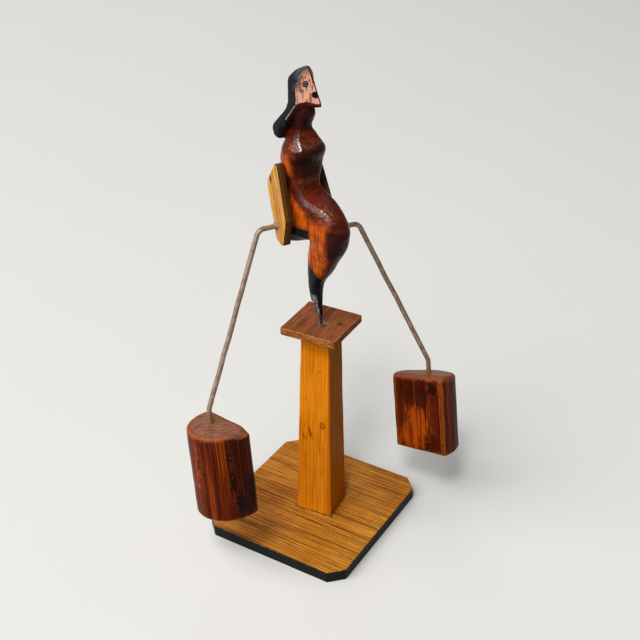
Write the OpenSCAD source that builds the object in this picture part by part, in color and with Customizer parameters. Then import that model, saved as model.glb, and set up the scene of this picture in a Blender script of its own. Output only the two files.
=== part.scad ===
// Balancing figure on a stand.
// A carved wooden figure stands on the point of its toe and is kept upright by two
// weights that hang below the point on stiff bent wires.
// The origin is the middle of the base's underside, with +Z up. Sizes are in millimetres.

/* [Base] */
// Length of the base board along X
base_x = 100; // [85:1:130]
// Length of the base board along Y
base_y = 106; // [85:1:130]
// Thickness of the base board
base_t = 8; // [6:0.5:14]
// Length cut off each side at the corners
base_cut = 8.5; // [3:0.5:15]

/* [Column] */
// Side of the column at its foot
column_foot = 24; // [20:0.5:32]
// Side of the column under the cap plate
column_head = 18.5; // [15:0.5:20]
// Height of the column
column_h = 131; // [118:1:160]
// Turn of the column on the base, degrees
column_turn = 6.5; // [-10:0.5:10]
// Place of the column's axis along X
column_x = 3.6; // [-8:0.1:8]
// Place of the column's axis along Y
column_y = 3.7; // [-8:0.1:8]
// Shank diameter of the screw that holds the column
screw_d = 4; // [3:0.1:5]
// Head diameter of that screw
screw_head_d = 8; // [6.5:0.1:9]
// Length of that screw
screw_l = 32; // [24:1:45]

/* [Cap plate] */
// Side of the square cap plate
cap_side = 36; // [30:0.5:44]
// Thickness of the cap plate
cap_t = 4.7; // [4:0.1:7]
// Turn of the cap plate, degrees
cap_turn = 2.6; // [-10:0.2:10]
// Shank diameter of the nails
nail_d = 1.6; // [1.2:0.1:2]
// Head diameter of the nails
nail_head_d = 2.8; // [2.4:0.1:3.4]
// Thickness of the nail heads
nail_head_t = 0.6; // [0.4:0.1:1]
// Length of the nails in the cap plate
cap_nail_l = 18; // [12:1:24]
// Place of the straight nail along the plate's own X
straight_nail_x = 3.7; // [3.2:0.1:5]
// Place of the straight nail along the plate's own Y
straight_nail_y = -4.1; // [-5:0.1:-3.6]
// Place of the slanted nail along the plate's own X
slant_nail_x = 11.3; // [10:0.1:12]
// Place of the slanted nail along the plate's own Y
slant_nail_y = 2.1; // [0:0.1:4]
// Slant of that nail towards the column's axis, degrees
nail_slant = 32; // [30:1:38]

/* [Pivot] */
// Place of the toe's point along X from the column's axis
toe_x = 0.8; // [-1.2:0.1:1.2]
// Place of the toe's point along Y from the column's axis
toe_y = -1.1; // [-1.4:0.1:1.4]
// Head diameter of the tack that the toe stands on
tack_d = 5; // [4:0.1:5.4]
// Thickness of the tack's head
tack_t = 1; // [0.8:0.1:1.6]
// Shank diameter of the tack
tack_shank_d = 1.8; // [1.4:0.1:2.2]
// Length of the tack's shank
tack_shank_l = 6; // [4:0.5:9]
// Depth of the dish in the tack's head
dish_depth = 0.5; // [0.3:0.1:0.6]
// Radius of the pin's rounded point
point_r = 0.6; // [0.4:0.1:0.8]
// Diameter of the toe pin
pin_d = 2; // [1.6:0.1:2.4]
// Length of the toe pin
pin_l = 16; // [13:0.5:20]
// Length of the pin's taper
pin_taper = 4; // [2.5:0.1:5]

/* [Figure] */
// Turn of the figure's front from +Y about the column, degrees
figure_turn = 238; // [0:1:360]
// Turn of the legs from the line of the wires, degrees
leg_turn = 18; // [0:1:25]
// Turn of the chest from the line of the wires, degrees
chest_turn = 6; // [0:1:15]
// Turn of the head from the line of the wires, degrees
head_turn = 22; // [0:1:35]
// Height of the heel above the toe's point
heel_h = 14; // [12:0.5:16]
// Height of the ankle above the toe's point
ankle_h = 22; // [20:0.5:25]
// Height of the seat's lowest edge
seat_h = 50; // [48:0.5:52]
// Height of the knee
knee_h = 63; // [60:0.5:66]
// Height of the waist
waist_h = 87; // [84:0.5:89]
// Height of the bust
bust_h = 104.5; // [101.5:0.5:106.5]
// Height of the neck's foot
neck_h = 117; // [114:0.5:119]
// Height of the chin
chin_h = 132; // [129:0.5:135]
// Height of the crown
crown_h = 151.5; // [148:0.5:155]
// Half width of the ankle
ankle_w = 3.8; // [3.4:0.1:4.6]
// Half width of the knees
knee_w = 8; // [7:0.1:9]
// Half width of the hips
hip_w = 11; // [10:0.1:11.6]
// Half width of the waist
waist_w = 9; // [8:0.1:10]
// Half width of the bust
bust_w = 12; // [11:0.1:12.4]
// Half width of the neck
neck_w = 5; // [4.6:0.1:6]
// Half width of the head
head_w = 7.8; // [7:0.1:9]
// Half width of the hair where it flares at the nape
hair_w = 10.8; // [9.5:0.1:12]
// Depth of the step where the thigh stands in front of the hip's flat side
hip_step = 2.6; // [2:0.1:3.2]
// Turn of the hip's flat side from the thigh, degrees
hip_flat = 13.7; // [10:0.1:17]
// How far the knees stand in front of the toe's point
knee_reach = 20; // [18:0.5:22]
// How far the seat stands behind the toe's point
seat_reach = 29; // [27:0.5:31]
// How far the chin stands in front of the neck's axis
chin_reach = 13.5; // [12:0.1:14.5]
// Place of the chest's axis to the figure's right of the point
chest_x = 3.4; // [2.6:0.1:4]
// Place of the chest's axis in front of the point
chest_y = -15.4; // [-17:0.1:-13.5]

/* [Arms] */
// Length of the arm plates
arm_l = 47; // [43:0.5:51]
// Width of the arm plates
arm_w = 18; // [16:0.5:20]
// Thickness of the arm plates
arm_t = 4.6; // [3.6:0.1:6]
// Forward slope of the right arm plate, degrees
right_arm_slope = 20; // [16:1:24]
// Forward slope of the left arm plate, degrees
left_arm_slope = 36; // [30:1:40]
// Distance from the chest's axis to the inner face of each arm plate
arm_in = 12.6; // [12.6:0.1:14]
// Rounding of the arm plates' corners
arm_round = 3; // [1:0.5:4]
// Slope cut off the shoulder end
shoulder_cut = 10; // [6:0.5:12]
// Slope cut off the hand end
hand_cut = 14; // [10:0.5:16]
// Height of the right hand's hole above the point
right_hand_h = 61; // [59:0.5:63]
// Height of the left hand's hole above the point
left_hand_h = 51; // [50:0.5:53]
// How much higher the left arm plate stands on its hand's hole
left_arm_rise = 2.4; // [0:0.1:3]
// Place of both hands' holes in front of the point
hand_y = -15.2; // [-17:0.1:-13]
// From the right hand's hole to the arm's nail, along the plate
right_nail_up = 27; // [25:0.5:29]
// From the left hand's hole to the arm's nail, along the plate
left_nail_up = 20; // [16:0.5:22]
// From the hand's hole to the arm's nail, across the plate
arm_nail_side = 2.5; // [1:0.5:4]
// Length of the arms' nails
arm_nail_l = 17; // [15:0.5:19]

/* [Wires] */
// Diameter of the wires
wire_d = 3; // [2.4:0.1:3.4]
// Distance from the point to the bend beside each hand
wire_reach = 32; // [30:0.5:36]
// Distance from the point to the middle of each weight
weight_reach = 74.7; // [68:0.5:84]
// Length from the hand down to the weight, along the slope of the wires
wire_fall = 108.6; // [104:0.5:116]
// Straight end of the wire above the weight
wire_end = 9; // [7:0.5:14]
// Forward slope of the wires on their way down, degrees
wire_rake = 10.5; // [6:0.5:14]
// Radius of the wire's bends
wire_bend = 5.5; // [4.5:0.1:7]
// How far the right wire goes past its hand into the hip
right_wire_tail = 6; // [4:0.5:7]
// How far the left wire goes past its hand
left_wire_tail = 0; // [0:0.05:0.2]
// How far the wire goes into the weight
wire_socket = 20; // [14:0.5:23]
// Diameter of the glue bead round the wire at the hand
bead_d = 5; // [4.4:0.1:6]
// Thickness of that glue bead
bead_t = 1.4; // [0.8:0.1:2]

/* [Weights] */
// Diameter of the round that the weights are cut from
weight_round = 40; // [34:0.5:44]
// Depth of the right weight from the flat face to the round one
right_weight_d = 26; // [24:0.5:31]
// Depth of the left weight from the flat face to the round one
left_weight_d = 29; // [24:0.5:31]
// Height of the right weight at its wire
right_weight_h = 54.5; // [48:0.5:58]
// Height of the left weight at its wire
left_weight_h = 51; // [48:0.5:58]
// Distance from the right weight's flat face to its wire
right_wire_in = 10; // [9:0.1:14]
// Distance from the left weight's flat face to its wire
left_wire_in = 12; // [9:0.1:14]
// How far the right weight sits forward of its wire
right_weight_shift = 4; // [-5:0.5:5]
// How far the left weight sits forward of its wire
left_weight_shift = -2; // [-5:0.5:5]
// Turn of the right weight on its wire, degrees
right_weight_turn = 15; // [-40:1:40]
// Turn of the left weight on its wire, degrees
left_weight_turn = -28; // [-40:1:40]
// Slope of the right weight's top down to its round face, degrees
right_top_slope = 0; // [0:1:16]
// Slope of the left weight's top down to its round face, degrees
left_top_slope = 17; // [0:1:18]
// Slope of the right weight's top down to its back, degrees
right_top_lean = 0; // [0:1:8]
// Slope of the left weight's top down to its back, degrees
left_top_lean = 6; // [0:1:8]

/* [Fits] */
// Gap all round the parts that turn
run_gap = 0.05; // [0.03:0.01:0.1]
// Gap between the arm plates and the body
rest_gap = 0.3; // [0.2:0.05:0.5]

/* [Hidden] */
$fn = 64;
eps = 0.01;

cap_z = base_t + column_h;
cap_top = cap_z + cap_t;
// the point's centre sits one point radius and a running gap above the bottom of the dish
point_z = cap_top - dish_depth + point_r + run_gap;
dish_r = 3 * point_r;
screw_cone = (screw_head_d - screw_d) / 2;
column_scale = column_head / column_foot;
// the wire's bends are a hair thicker, so that its straight lengths end inside them
bend_d = wire_d + 0.06;
lap = 0.3;
// height of the block that is sawn off above each weight
top_waste = 10;

// the foot of the leg leans back from the point, and the pin lies along it
foot_lean = 13.5;
foot_start = 4;
// where the leg's axis lies in front of the point, at the shin and through the thigh
shin_y = -4.4;
thigh_y = -4;

// half sections of the lower leg, from the toe up into the knee:
// height, axis to the right, axis in front, turn, half width, depth in front, depth behind, wider behind
shin_rows = [
    leg_row(foot_start, -1.1, 1.5, 1.5, 1.5, 0),
    leg_row(heel_h - 1, -2.9, 2.4, 2.6, 2.4, 0),
    leg_row(heel_h, -3.6, 3.2, 3, 3.3, 0),
    leg_row(ankle_h, shin_y, ankle_w, 4, 4, 0),
    leg_row(ankle_h + 6, shin_y + 1, ankle_w + 1, 5.2, 5, 0),
    leg_row(ankle_h + 13, -1, ankle_w + 2.4, 7.8, 7, 0),
    leg_row(knee_h - 19, 2, knee_w - 0.7, 9.8, 9.5, 0),
    leg_row(knee_h - 11, knee_reach - 14, knee_w, 10.6, 12, 0),
    leg_row(knee_h - 4, knee_reach - 13, knee_w + 0.3, 11.6, 12, 0),
    leg_row(knee_h + 2, knee_reach - 13, knee_w - 1, 11.6, 10, 0),
    leg_row(knee_h + 6, knee_reach - 14, knee_w - 4, 7, 6, 0)
];

// half sections from the seat's underside to the neck, in the same order
body_rows = [
    leg_row(seat_h, -20, hip_w - 3, 4, 5.5, 0.1),
    leg_row(seat_h + 2, -17.5, hip_w - 1.4, 8, seat_reach - 19, 0.15),
    leg_row(seat_h + 6, -13, hip_w - 0.6, 14, seat_reach - 13.6, 0.2),
    leg_row(knee_h - 5, -6, hip_w - 0.4, knee_reach + 2.4, seat_reach - 6.2, 0.25),
    leg_row(knee_h, thigh_y, hip_w, knee_reach - thigh_y, seat_reach + thigh_y, 0.25),
    leg_row(knee_h + 7, thigh_y, hip_w, knee_reach - thigh_y - 2.6, seat_reach + thigh_y - 0.5, 0.25),
    leg_row(waist_h - 10, -7, hip_w - 0.6, 15, seat_reach - 9.5, 0.15),
    [waist_h - 5, chest_x + 0.5, chest_y + 0.6, (leg_turn + chest_turn) / 2, waist_w + 0.6, 10, 11, 0.05],
    chest_row(waist_h, 0, waist_w + 0.3, 7.2, 9),
    chest_row(waist_h + 4, 0, waist_w + 1.6, 7, 11),
    chest_row((waist_h + bust_h) / 2 + 2, 0, bust_w - 0.4, 7.4, 12.6),
    chest_row(bust_h - 1.5, 0.4, bust_w - 0.3, 10.2, 11.4),
    chest_row(bust_h + 1.8, 0.4, bust_w - 0.7, 10.9, 10.4),
    chest_row((bust_h + neck_h) / 2 - 0.6, 0, bust_w - 2.8, 8.2, 9),
    chest_row(neck_h - 4, 0, neck_w + 2.6, 5.8, 7.8),
    chest_row(neck_h + 1, -0.5, neck_w, 4.4, 6),
    chest_row(chin_h - 6, 0, neck_w + 0.6, 8, 6),
    chest_row(chin_h - 1, 0, neck_w - 0.4, 7.2, 5.6)
];

// half sections of the head and hair, from the nape to the crown; the last number is how sharp the face is
head_rows = [
    head_row(neck_h - 7, -10.6, hair_w - 2.6, 2.4, 1.6, 0),
    head_row(neck_h - 5, -10.8, hair_w - 1.2, 3.4, 3, 0),
    head_row(neck_h + 0.5, -9.6, hair_w, 5, 4.2, 0),
    head_row(neck_h + 5, -7, hair_w - 0.8, 6, 3.8, 0),
    head_row(neck_h + 9.5, -3.6, hair_w - 2.2, 6.4, 3.6, 0),
    head_row(chin_h - 2.6, -1, head_w + 0.5, 7, 4.6, 0.2),
    head_row(chin_h - 1.2, 0.2, head_w + 0.2, chin_reach - 2, 5.8, 0.9),
    head_row(chin_h + 0.4, 1, head_w, chin_reach - 0.8, 6.2, 1),
    head_row((chin_h + crown_h) / 2 - 2.5, 1, head_w, chin_reach - 4, 6.1, 1),
    head_row(crown_h - 6.5, 1, head_w - 0.2, chin_reach - 6.7, 6, 1),
    head_row(crown_h - 3.5, 0.8, head_w - 1.5, chin_reach - 8.1, 3.8, 1),
    head_row(crown_h - 1.4, 1.2, head_w - 3.4, chin_reach - 9.5, 2.2, 1),
    head_row(crown_h - 0.4, 2.2, head_w - 5.8, chin_reach - 11.1, 1.4, 0.8),
    head_row(crown_h, 2.6, head_w - 7, 1, 0.8, 0.5)
];
row_steps = 4;
row_sides = 36;
roundness = 2.6;
hair_roundness = 6;

function leg_row(h, y, w, front, behind, wider) =
    [h, -y * sin(leg_turn), y * cos(leg_turn), leg_turn, w, front, behind, wider];
function chest_row(h, y, w, front, behind) =
    [h, chest_x, chest_y + y, chest_turn, w, front, behind, 0];
function head_row(h, y, w, front, behind, sharp) =
    [h, chest_x - y * sin(head_turn), chest_y + y * cos(head_turn), head_turn, w, front, behind, sharp];

// a smooth row between the given ones
function smooth_row(rows, s) =
    let (i = min(floor(s), len(rows) - 2), t = s - i)
    let (a = rows[max(i - 1, 0)], b = rows[i], c = rows[i + 1], d = rows[min(i + 2, len(rows) - 1)])
    b + (c - a) * (t / 2) + (2 * a - 5 * b + 4 * c - d) * (t * t / 2) + (3 * b - a - 3 * c + d) * (t * t * t / 2);

function rounded(v, power = roundness) = sign(v) * pow(abs(v), 2 / power);

// one ring of a body row, whose width grows towards the back
function body_ring(r) = [
    for (j = [0 : row_sides - 1])
        let (c = rounded(cos(360 * j / row_sides)), s = rounded(sin(360 * j / row_sides)))
        let (x = r[4] * (1 - r[7] * s) * c, y = (s > 0 ? r[5] : r[6]) * s)
        [r[1] + x * cos(r[3]) - y * sin(r[3]), r[2] + x * sin(r[3]) + y * cos(r[3]), r[0]]
];

// one ring of a head row, whose front runs to an edge as far as the row is sharp
function head_ring(r) = [
    for (j = [0 : row_sides - 1])
        let (c = cos(360 * j / row_sides), s = sin(360 * j / row_sides))
        let (x = r[4] * (s > 0 ? c : rounded(c, hair_roundness)))
        let (y = s > 0 ? r[5] * ((1 - r[7]) * s + r[7] * (1 - abs(c))) : r[6] * rounded(s, hair_roundness))
        [r[1] + x * cos(r[3]) - y * sin(r[3]), r[2] + x * sin(r[3]) + y * cos(r[3]), r[0]]
];

// a closed skin over rings of equal count, from the lowest to the highest
module skin(rings) {
    n = len(rings[0]);
    m = len(rings);
    sides = [
        for (i = [0 : m - 2], j = [0 : n - 1], k = [0, 1])
            let (a = i * n + j, b = i * n + (j + 1) % n)
            k == 0 ? [a, a + n, b + n] : [a, b + n, b]
    ];
    floor_face = [[for (j = [0 : n - 1]) j]];
    top_face = [[for (j = [0 : n - 1]) m * n - 1 - j]];
    polyhedron(points = [for (r = rings) each r], faces = concat(sides, floor_face, top_face));
}

module shin_form() {
    skin([for (q = [0 : (len(shin_rows) - 1) * row_steps]) body_ring(smooth_row(shin_rows, q / row_steps))]);
}

module body_form() {
    skin([for (q = [0 : (len(body_rows) - 1) * row_steps]) body_ring(smooth_row(body_rows, q / row_steps))]);
}

module head_form() {
    skin([for (q = [0 : (len(head_rows) - 1) * row_steps]) head_ring(smooth_row(head_rows, q / row_steps))]);
}

// what is cut off the hip behind the thigh, on one side
module hip_waste(side) {
    crease_h = knee_h + 7.4;
    rise = waist_h - 7.4 - crease_h;
    rotate([0, 0, leg_turn]) on_side(side) translate([hip_w - hip_step, 0.9, 0])
        rotate([0, 0, hip_flat]) rotate([90, 0, 90]) linear_extrude(hip_w)
            polygon([[0, seat_h - 4], [0, crease_h], [-seat_reach / 2, crease_h + rise],
                [-seat_reach, crease_h + rise], [-seat_reach, seat_h - 4]]);
}

// places its children on the column's axis
module on_column(z) {
    translate([column_x, column_y, z]) children();
}

// places its children on the upright axis through the toe's point
module on_toe(z) {
    translate([column_x + toe_x, column_y + toe_y, z]) children();
}

// the figure's frame: x to its right hand, y to its front, origin at the centre of the pin's point
module on_point() {
    on_toe(point_z) rotate([0, 0, figure_turn]) children();
}

// the pin's own axis, up along the leaning foot
module along_pin() {
    rotate([0, 0, leg_turn]) rotate([foot_lean, 0, 0]) children();
}

// one side of the figure: 1 is its right, -1 its left, drawn as if it were the right
module on_side(side) {
    mirror([side < 0 ? 1 : 0, 0, 0]) children();
}

function hand_h(side) = side > 0 ? right_hand_h : left_hand_h;
function weight_turn(side) = side > 0 ? right_weight_turn : left_weight_turn;
function weight_h(side) = side > 0 ? right_weight_h : left_weight_h;
function weight_d(side) = side > 0 ? right_weight_d : left_weight_d;
function top_slope(side) = side > 0 ? right_top_slope : left_top_slope;
function top_lean(side) = side > 0 ? right_top_lean : left_top_lean;
function weight_shift(side) = side > 0 ? right_weight_shift : left_weight_shift;
function wire_tail(side) = side > 0 ? right_wire_tail : left_wire_tail;
function arm_slope(side) = side > 0 ? right_arm_slope : left_arm_slope;
function arm_rise(side) = side > 0 ? 0 : left_arm_rise;
function nail_up(side) = side > 0 ? right_nail_up : left_nail_up;
function wire_in(side) = side > 0 ? right_wire_in : left_wire_in;
// inner face of the arm plate on one side, from the point
function arm_face(side) = arm_in + side * chest_x;

// a hand's hole, with x outwards along the wire
module at_hand(side) {
    on_side(side) translate([0, hand_y, hand_h(side)]) children();
}

// the wire's frame slopes forward on its way down
module at_wire(side) {
    at_hand(side) rotate([wire_rake, 0, 0]) children();
}

// the arm plate's frame: x outwards from its inner face, z up along the plate, origin at the hand's hole
module at_arm(side) {
    at_hand(side) translate([arm_face(side), 0, 0]) rotate([arm_slope(side), 0, 0]) children();
}

module at_arm_nail(side) {
    at_arm(side) translate([arm_t, arm_nail_side, nail_up(side)]) rotate([0, -90, 0]) children();
}

// the top of a weight, with z along the end of the wire
module at_weight(side) {
    at_wire(side) translate([weight_reach, 0, -wire_fall]) rotate([0, 0, weight_turn(side)]) children();
}

// flat head with its outer face at z = 0, shank along +z
module nail_shape(length, gap = 0) {
    translate([0, 0, -gap]) cylinder(d = nail_head_d + 2 * gap, h = nail_head_t + gap);
    cylinder(d = nail_d + 2 * gap, h = length);
}

module at_cap_nail(slanted) {
    place = slanted ? [slant_nail_x, slant_nail_y] : [straight_nail_x, straight_nail_y];
    lean = slanted ? nail_slant : 0;
    on_column(cap_top) rotate([0, 0, cap_turn]) translate([place[0], place[1], 0])
        rotate([0, 180 + lean, 0]) children();
}

module cap_nail(slanted) {
    at_cap_nail(slanted) nail_shape(cap_nail_l);
}

// head and shank of the screw, driven upwards from the underside
module screw_shape() {
    cylinder(d1 = screw_head_d, d2 = screw_d, h = screw_cone);
    translate([0, 0, screw_cone - eps]) cylinder(d = screw_d, h = screw_l - screw_cone + eps);
}

module base_board() {
    hx = base_x / 2;
    hy = base_y / 2;
    outline = [
        [hx, hy - base_cut], [hx - base_cut, hy], [base_cut - hx, hy], [-hx, hy - base_cut],
        [-hx, base_cut - hy], [base_cut - hx, -hy], [hx - base_cut, -hy], [hx, base_cut - hy]
    ];
    color("goldenrod") difference() {
        linear_extrude(base_t) polygon(outline);
        on_column(0) screw_shape();
    }
}

module column() {
    color("darkgoldenrod") difference() {
        on_column(base_t) rotate([0, 0, column_turn])
            linear_extrude(column_h, scale = column_scale) square(column_foot, center = true);
        on_column(0) screw_shape();
        on_toe(cap_top - tack_shank_l - tack_t) cylinder(d = tack_shank_d + 2 * run_gap, h = tack_shank_l);
        cap_nail(false);
        cap_nail(true);
    }
}

module column_screw() {
    color("slategray") on_column(0) screw_shape();
}

module cap_plate() {
    color("sienna") difference() {
        on_column(cap_z) rotate([0, 0, cap_turn])
            translate([-cap_side / 2, -cap_side / 2, 0]) cube([cap_side, cap_side, cap_t]);
        on_toe(cap_top - tack_t) cylinder(d = tack_d + 2 * run_gap, h = tack_t + 1);
        on_toe(cap_z - 1) cylinder(d = tack_shank_d + 2 * run_gap, h = cap_t + 1);
        cap_nail(false);
        cap_nail(true);
    }
}

// a nail of the cap plate, filed flush with the plate's top
module flush_cap_nail(slanted) {
    color("dimgray") intersection() {
        cap_nail(slanted);
        on_column(0) translate([-cap_side / 2, -cap_side / 2, 0]) cube([cap_side, cap_side, cap_top]);
    }
}

module straight_cap_nail() { flush_cap_nail(false); }
module slanted_cap_nail() { flush_cap_nail(true); }

module pivot_tack() {
    color("lightgray") difference() {
        union() {
            on_toe(cap_top - tack_t + run_gap) cylinder(d = tack_d, h = tack_t - run_gap);
            on_toe(cap_top - tack_t - tack_shank_l + run_gap) cylinder(d = tack_shank_d, h = tack_shank_l);
        }
        on_toe(cap_top - dish_depth + dish_r) sphere(r = dish_r);
    }
}

module toe_pin() {
    color("gray") on_point() along_pin() rotate_extrude() {
        intersection() {
            circle(r = point_r);
            translate([0, -point_r]) square([point_r, 2 * point_r]);
        }
        polygon([[0, 0], [point_r, 0], [pin_d / 2, pin_taper], [pin_d / 2, pin_l], [0, pin_l]]);
    }
}

module figure_body() {
    color("brown") on_point() difference() {
        union() {
            shin_form();
            body_form();
            head_form();
        }
        along_pin() cylinder(d = pin_d, h = pin_l);
        for (side = [1, -1]) {
            hip_waste(side);
            at_arm_nail(side) cylinder(d = nail_d, h = arm_nail_l);
            at_hand(side) translate([arm_face(side) - wire_tail(side), 0, 0]) rotate([0, 90, 0])
                cylinder(d = wire_d, h = wire_tail(side) + arm_t);
            at_arm(side) translate([-rest_gap, 0, 0]) rotate([90, 0, 90])
                linear_extrude(arm_t) offset(delta = rest_gap) arm_outline(side);
        }
    }
}

// outline of an arm plate, hand end down, with the hand's hole at the origin
module arm_outline(side) {
    back = -arm_w / 2 + 5;
    front = arm_w / 2 + 5;
    low = arm_rise(side) - 11.5;
    high = low + arm_l;
    offset(r = arm_round, $fn = 32) offset(delta = -arm_round) polygon([
        [back, low + 4], [back + 6, low], [back + 9, low],
        [front, low + hand_cut], [front, high], [front - 3, high], [back, high - shoulder_cut]
    ]);
}

module arm_plate(side) {
    difference() {
        at_arm(side) rotate([90, 0, 90]) linear_extrude(arm_t) arm_outline(side);
        at_hand(side) rotate([0, 90, 0]) cylinder(d = wire_d, h = wire_reach);
        at_arm_nail(side) nail_shape(arm_nail_l);
    }
}

module right_arm() { color("burlywood") on_point() arm_plate(1); }
module left_arm() { color("burlywood") on_point() arm_plate(-1); }
module right_arm_nail() { color("dimgray") on_point() at_arm_nail(1) nail_shape(arm_nail_l); }
module left_arm_nail() { color("dimgray") on_point() at_arm_nail(-1) nail_shape(arm_nail_l); }

// a wire in its own sloping plane: in through the hand, a bend, down and outwards, a bend, into the weight
module wire(side) {
    run = wire_fall - wire_end;
    splay = atan((weight_reach - wire_reach) / run);
    first = wire_bend * tan((90 - splay) / 2);
    second = wire_bend * tan(splay / 2);
    start = arm_face(side) - wire_tail(side);
    slant = run / cos(splay) - first - second;
    bend_x = weight_reach - second * sin(splay) - wire_bend * cos(splay);
    bend_z = -run + second * cos(splay) - wire_bend * sin(splay);
    at_wire(side) {
        translate([start, 0, 0]) rotate([0, 90, 0])
            cylinder(d = wire_d, h = wire_reach - first - start + lap);
        translate([wire_reach - first, 0, -wire_bend]) rotate([90, 0, 0]) rotate([0, 0, splay])
            rotate_extrude(angle = 90 - splay) translate([wire_bend, 0]) circle(d = bend_d);
        translate([wire_reach + first * sin(splay), 0, -first * cos(splay)]) rotate([0, 180 - splay, 0])
            translate([0, 0, -lap]) cylinder(d = wire_d, h = slant + 2 * lap);
        translate([bend_x, 0, bend_z]) rotate([90, 0, 0])
            rotate_extrude(angle = splay) translate([wire_bend, 0]) circle(d = bend_d);
        translate([weight_reach, 0, -wire_fall - wire_socket])
            cylinder(d = wire_d, h = wire_end + wire_socket - second + lap);
    }
}

module right_wire() { color("rosybrown") on_point() wire(1); }
module left_wire() { color("rosybrown") on_point() wire(-1); }

module wire_bead(side) {
    difference() {
        at_hand(side) translate([arm_face(side) + arm_t, 0, 0]) rotate([0, 90, 0])
            cylinder(d1 = bead_d, d2 = wire_d + 0.6, h = bead_t);
        at_hand(side) rotate([0, 90, 0]) cylinder(d = wire_d, h = wire_reach);
    }
}

module right_wire_bead() { color("silver") on_point() wire_bead(1); }
module left_wire_bead() { color("silver") on_point() wire_bead(-1); }

// half-round block: flat face towards the column, hung from its top
module weight(side) {
    round_r = weight_round / 2;
    full_h = weight_h(side) + top_waste;
    at_weight(side) difference() {
        translate([-wire_in(side), weight_shift(side), -weight_h(side)]) intersection() {
            translate([weight_d(side) - round_r, 0, 0]) cylinder(r = round_r, h = full_h);
            translate([0, -round_r, 0]) cube([weight_round, weight_round, full_h]);
        }
        rotate([top_lean(side), top_slope(side), 0])
            translate([-weight_round, -weight_round, 0]) cube([2 * weight_round, 2 * weight_round, 3 * top_waste]);
        translate([0, 0, -wire_socket]) cylinder(d = wire_d, h = wire_socket + top_waste);
    }
}

module right_weight() { color("saddlebrown") on_point() weight(1); }
module left_weight() { color("saddlebrown") on_point() weight(-1); }

base_board();
column();
column_screw();
cap_plate();
straight_cap_nail();
slanted_cap_nail();
pivot_tack();
figure_body();
toe_pin();
right_arm();
left_arm();
right_arm_nail();
left_arm_nail();
right_wire();
left_wire();
right_wire_bead();
left_wire_bead();
right_weight();
left_weight();
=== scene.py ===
import math
import bpy
import bmesh
from mathutils import Matrix, Vector, noise


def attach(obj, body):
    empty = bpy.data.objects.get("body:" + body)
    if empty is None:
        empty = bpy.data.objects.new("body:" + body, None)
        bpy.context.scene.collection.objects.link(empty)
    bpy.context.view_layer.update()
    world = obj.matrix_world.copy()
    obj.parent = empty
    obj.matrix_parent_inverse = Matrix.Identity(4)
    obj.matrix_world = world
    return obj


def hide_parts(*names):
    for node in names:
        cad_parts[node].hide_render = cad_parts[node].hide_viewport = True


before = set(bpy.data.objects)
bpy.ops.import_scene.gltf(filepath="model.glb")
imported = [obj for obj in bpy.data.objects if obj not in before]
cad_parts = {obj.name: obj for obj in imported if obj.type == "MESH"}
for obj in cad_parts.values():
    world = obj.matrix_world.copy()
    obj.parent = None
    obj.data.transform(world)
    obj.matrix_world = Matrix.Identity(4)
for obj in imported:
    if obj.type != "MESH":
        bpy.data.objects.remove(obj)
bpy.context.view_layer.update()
scene = bpy.context.scene
mm = 0.001
noise.seed_set(3)
print("frame loaded with", len(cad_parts), "nodes")


def turn(axis, degrees):
    return Matrix.Rotation(math.radians(degrees), 4, axis)


def move(x, y, z):
    return Matrix.Translation((x, y, z))


# the toe's point, and the figure's own frame: x to its right hand, y to its front
pivot = Vector((4.4, 2.6, 143.85))
figurePlace = move(*pivot) @ turn("Z", 238)
sideNames = {1: "right", -1: "left"}
# where the column stands on the base
standAxis = (3.6, 3.7)


# smooth wander of a hand-made surface, in millimetres
def wander(point, size, amount, seed=0.0):
    spot = Vector(point) / size + Vector((seed, seed * 1.7, seed * 0.6))
    return noise.noise_vector(spot) * amount


def clampUnit(value):
    return max(0.0, min(1.0, value))


# share of the way after k of the steps, slow at both ends
def eased(k, steps):
    return 0.5 - 0.5 * math.cos(math.pi * k / steps)


# a quarter turn in equal steps: what its sine and its cosine lack of 1
def quarterTurn(steps):
    bends = [math.pi / 2 * k / steps for k in range(steps + 1)]
    return [(1 - math.sin(bend), 1 - math.cos(bend)) for bend in bends]


# where each edge of a polygon starts, and the way it runs
def polygonEdges(points):
    ends = points[1:] + points[:1]
    return [(Vector(p), (Vector(q) - Vector(p)).normalized()) for p, q in zip(points, ends)]


def insetPolygon(points, inset):
    lines = [(p + Vector((-u.y, u.x)) * inset, u) for p, u in polygonEdges(points)]
    before = lines[-1:] + lines[:-1]
    return [p + u * ((q - p).cross(v) / u.cross(v)) for (p, u), (q, v) in zip(before, lines)]


# outline of a convex polygon, drawn inwards by the inset, with the same count of points every time
def roundedOutline(points, radius, inset, perEdge=10, perCorner=5):
    corner = max(radius - inset, 0.05)
    core = insetPolygon(points, inset + corner)
    outward = [Vector((u.y, -u.x)) for _, u in polygonEdges(core)]
    ring = []
    for i, spot in enumerate(core):
        first, second = outward[i - 1], outward[i]
        swing = -first.angle_signed(second)
        for k in range(perCorner):
            part = swing * k / (perCorner - 1)
            c, s = math.cos(part), math.sin(part)
            ring.append(spot + Vector((first.x * c - first.y * s, first.x * s + first.y * c)) * corner)
        begin, end = spot + second * corner, core[(i + 1) % len(core)] + second * corner
        for k in range(1, perEdge):
            ring.append(begin.lerp(end, eased(k, perEdge)))
    return ring


def squareOutline(half):
    return [(half, -half), (half, half), (-half, half), (-half, -half)]


# how far inside each edge of a polygon a point lies
def edgeDistances(points, spot):
    return [(spot.xy - p).dot(Vector((-u.y, u.x))) for p, u in polygonEdges(points)]


def depthInside(points, spot):
    return min(edgeDistances(points, spot))


# how near a point is to an edge, from its distances to the faces: 1 on the edge, 0 beyond the reach
def nearEdge(distances, reach):
    return clampUnit(1 - sorted(distances)[1] / reach)


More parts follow.
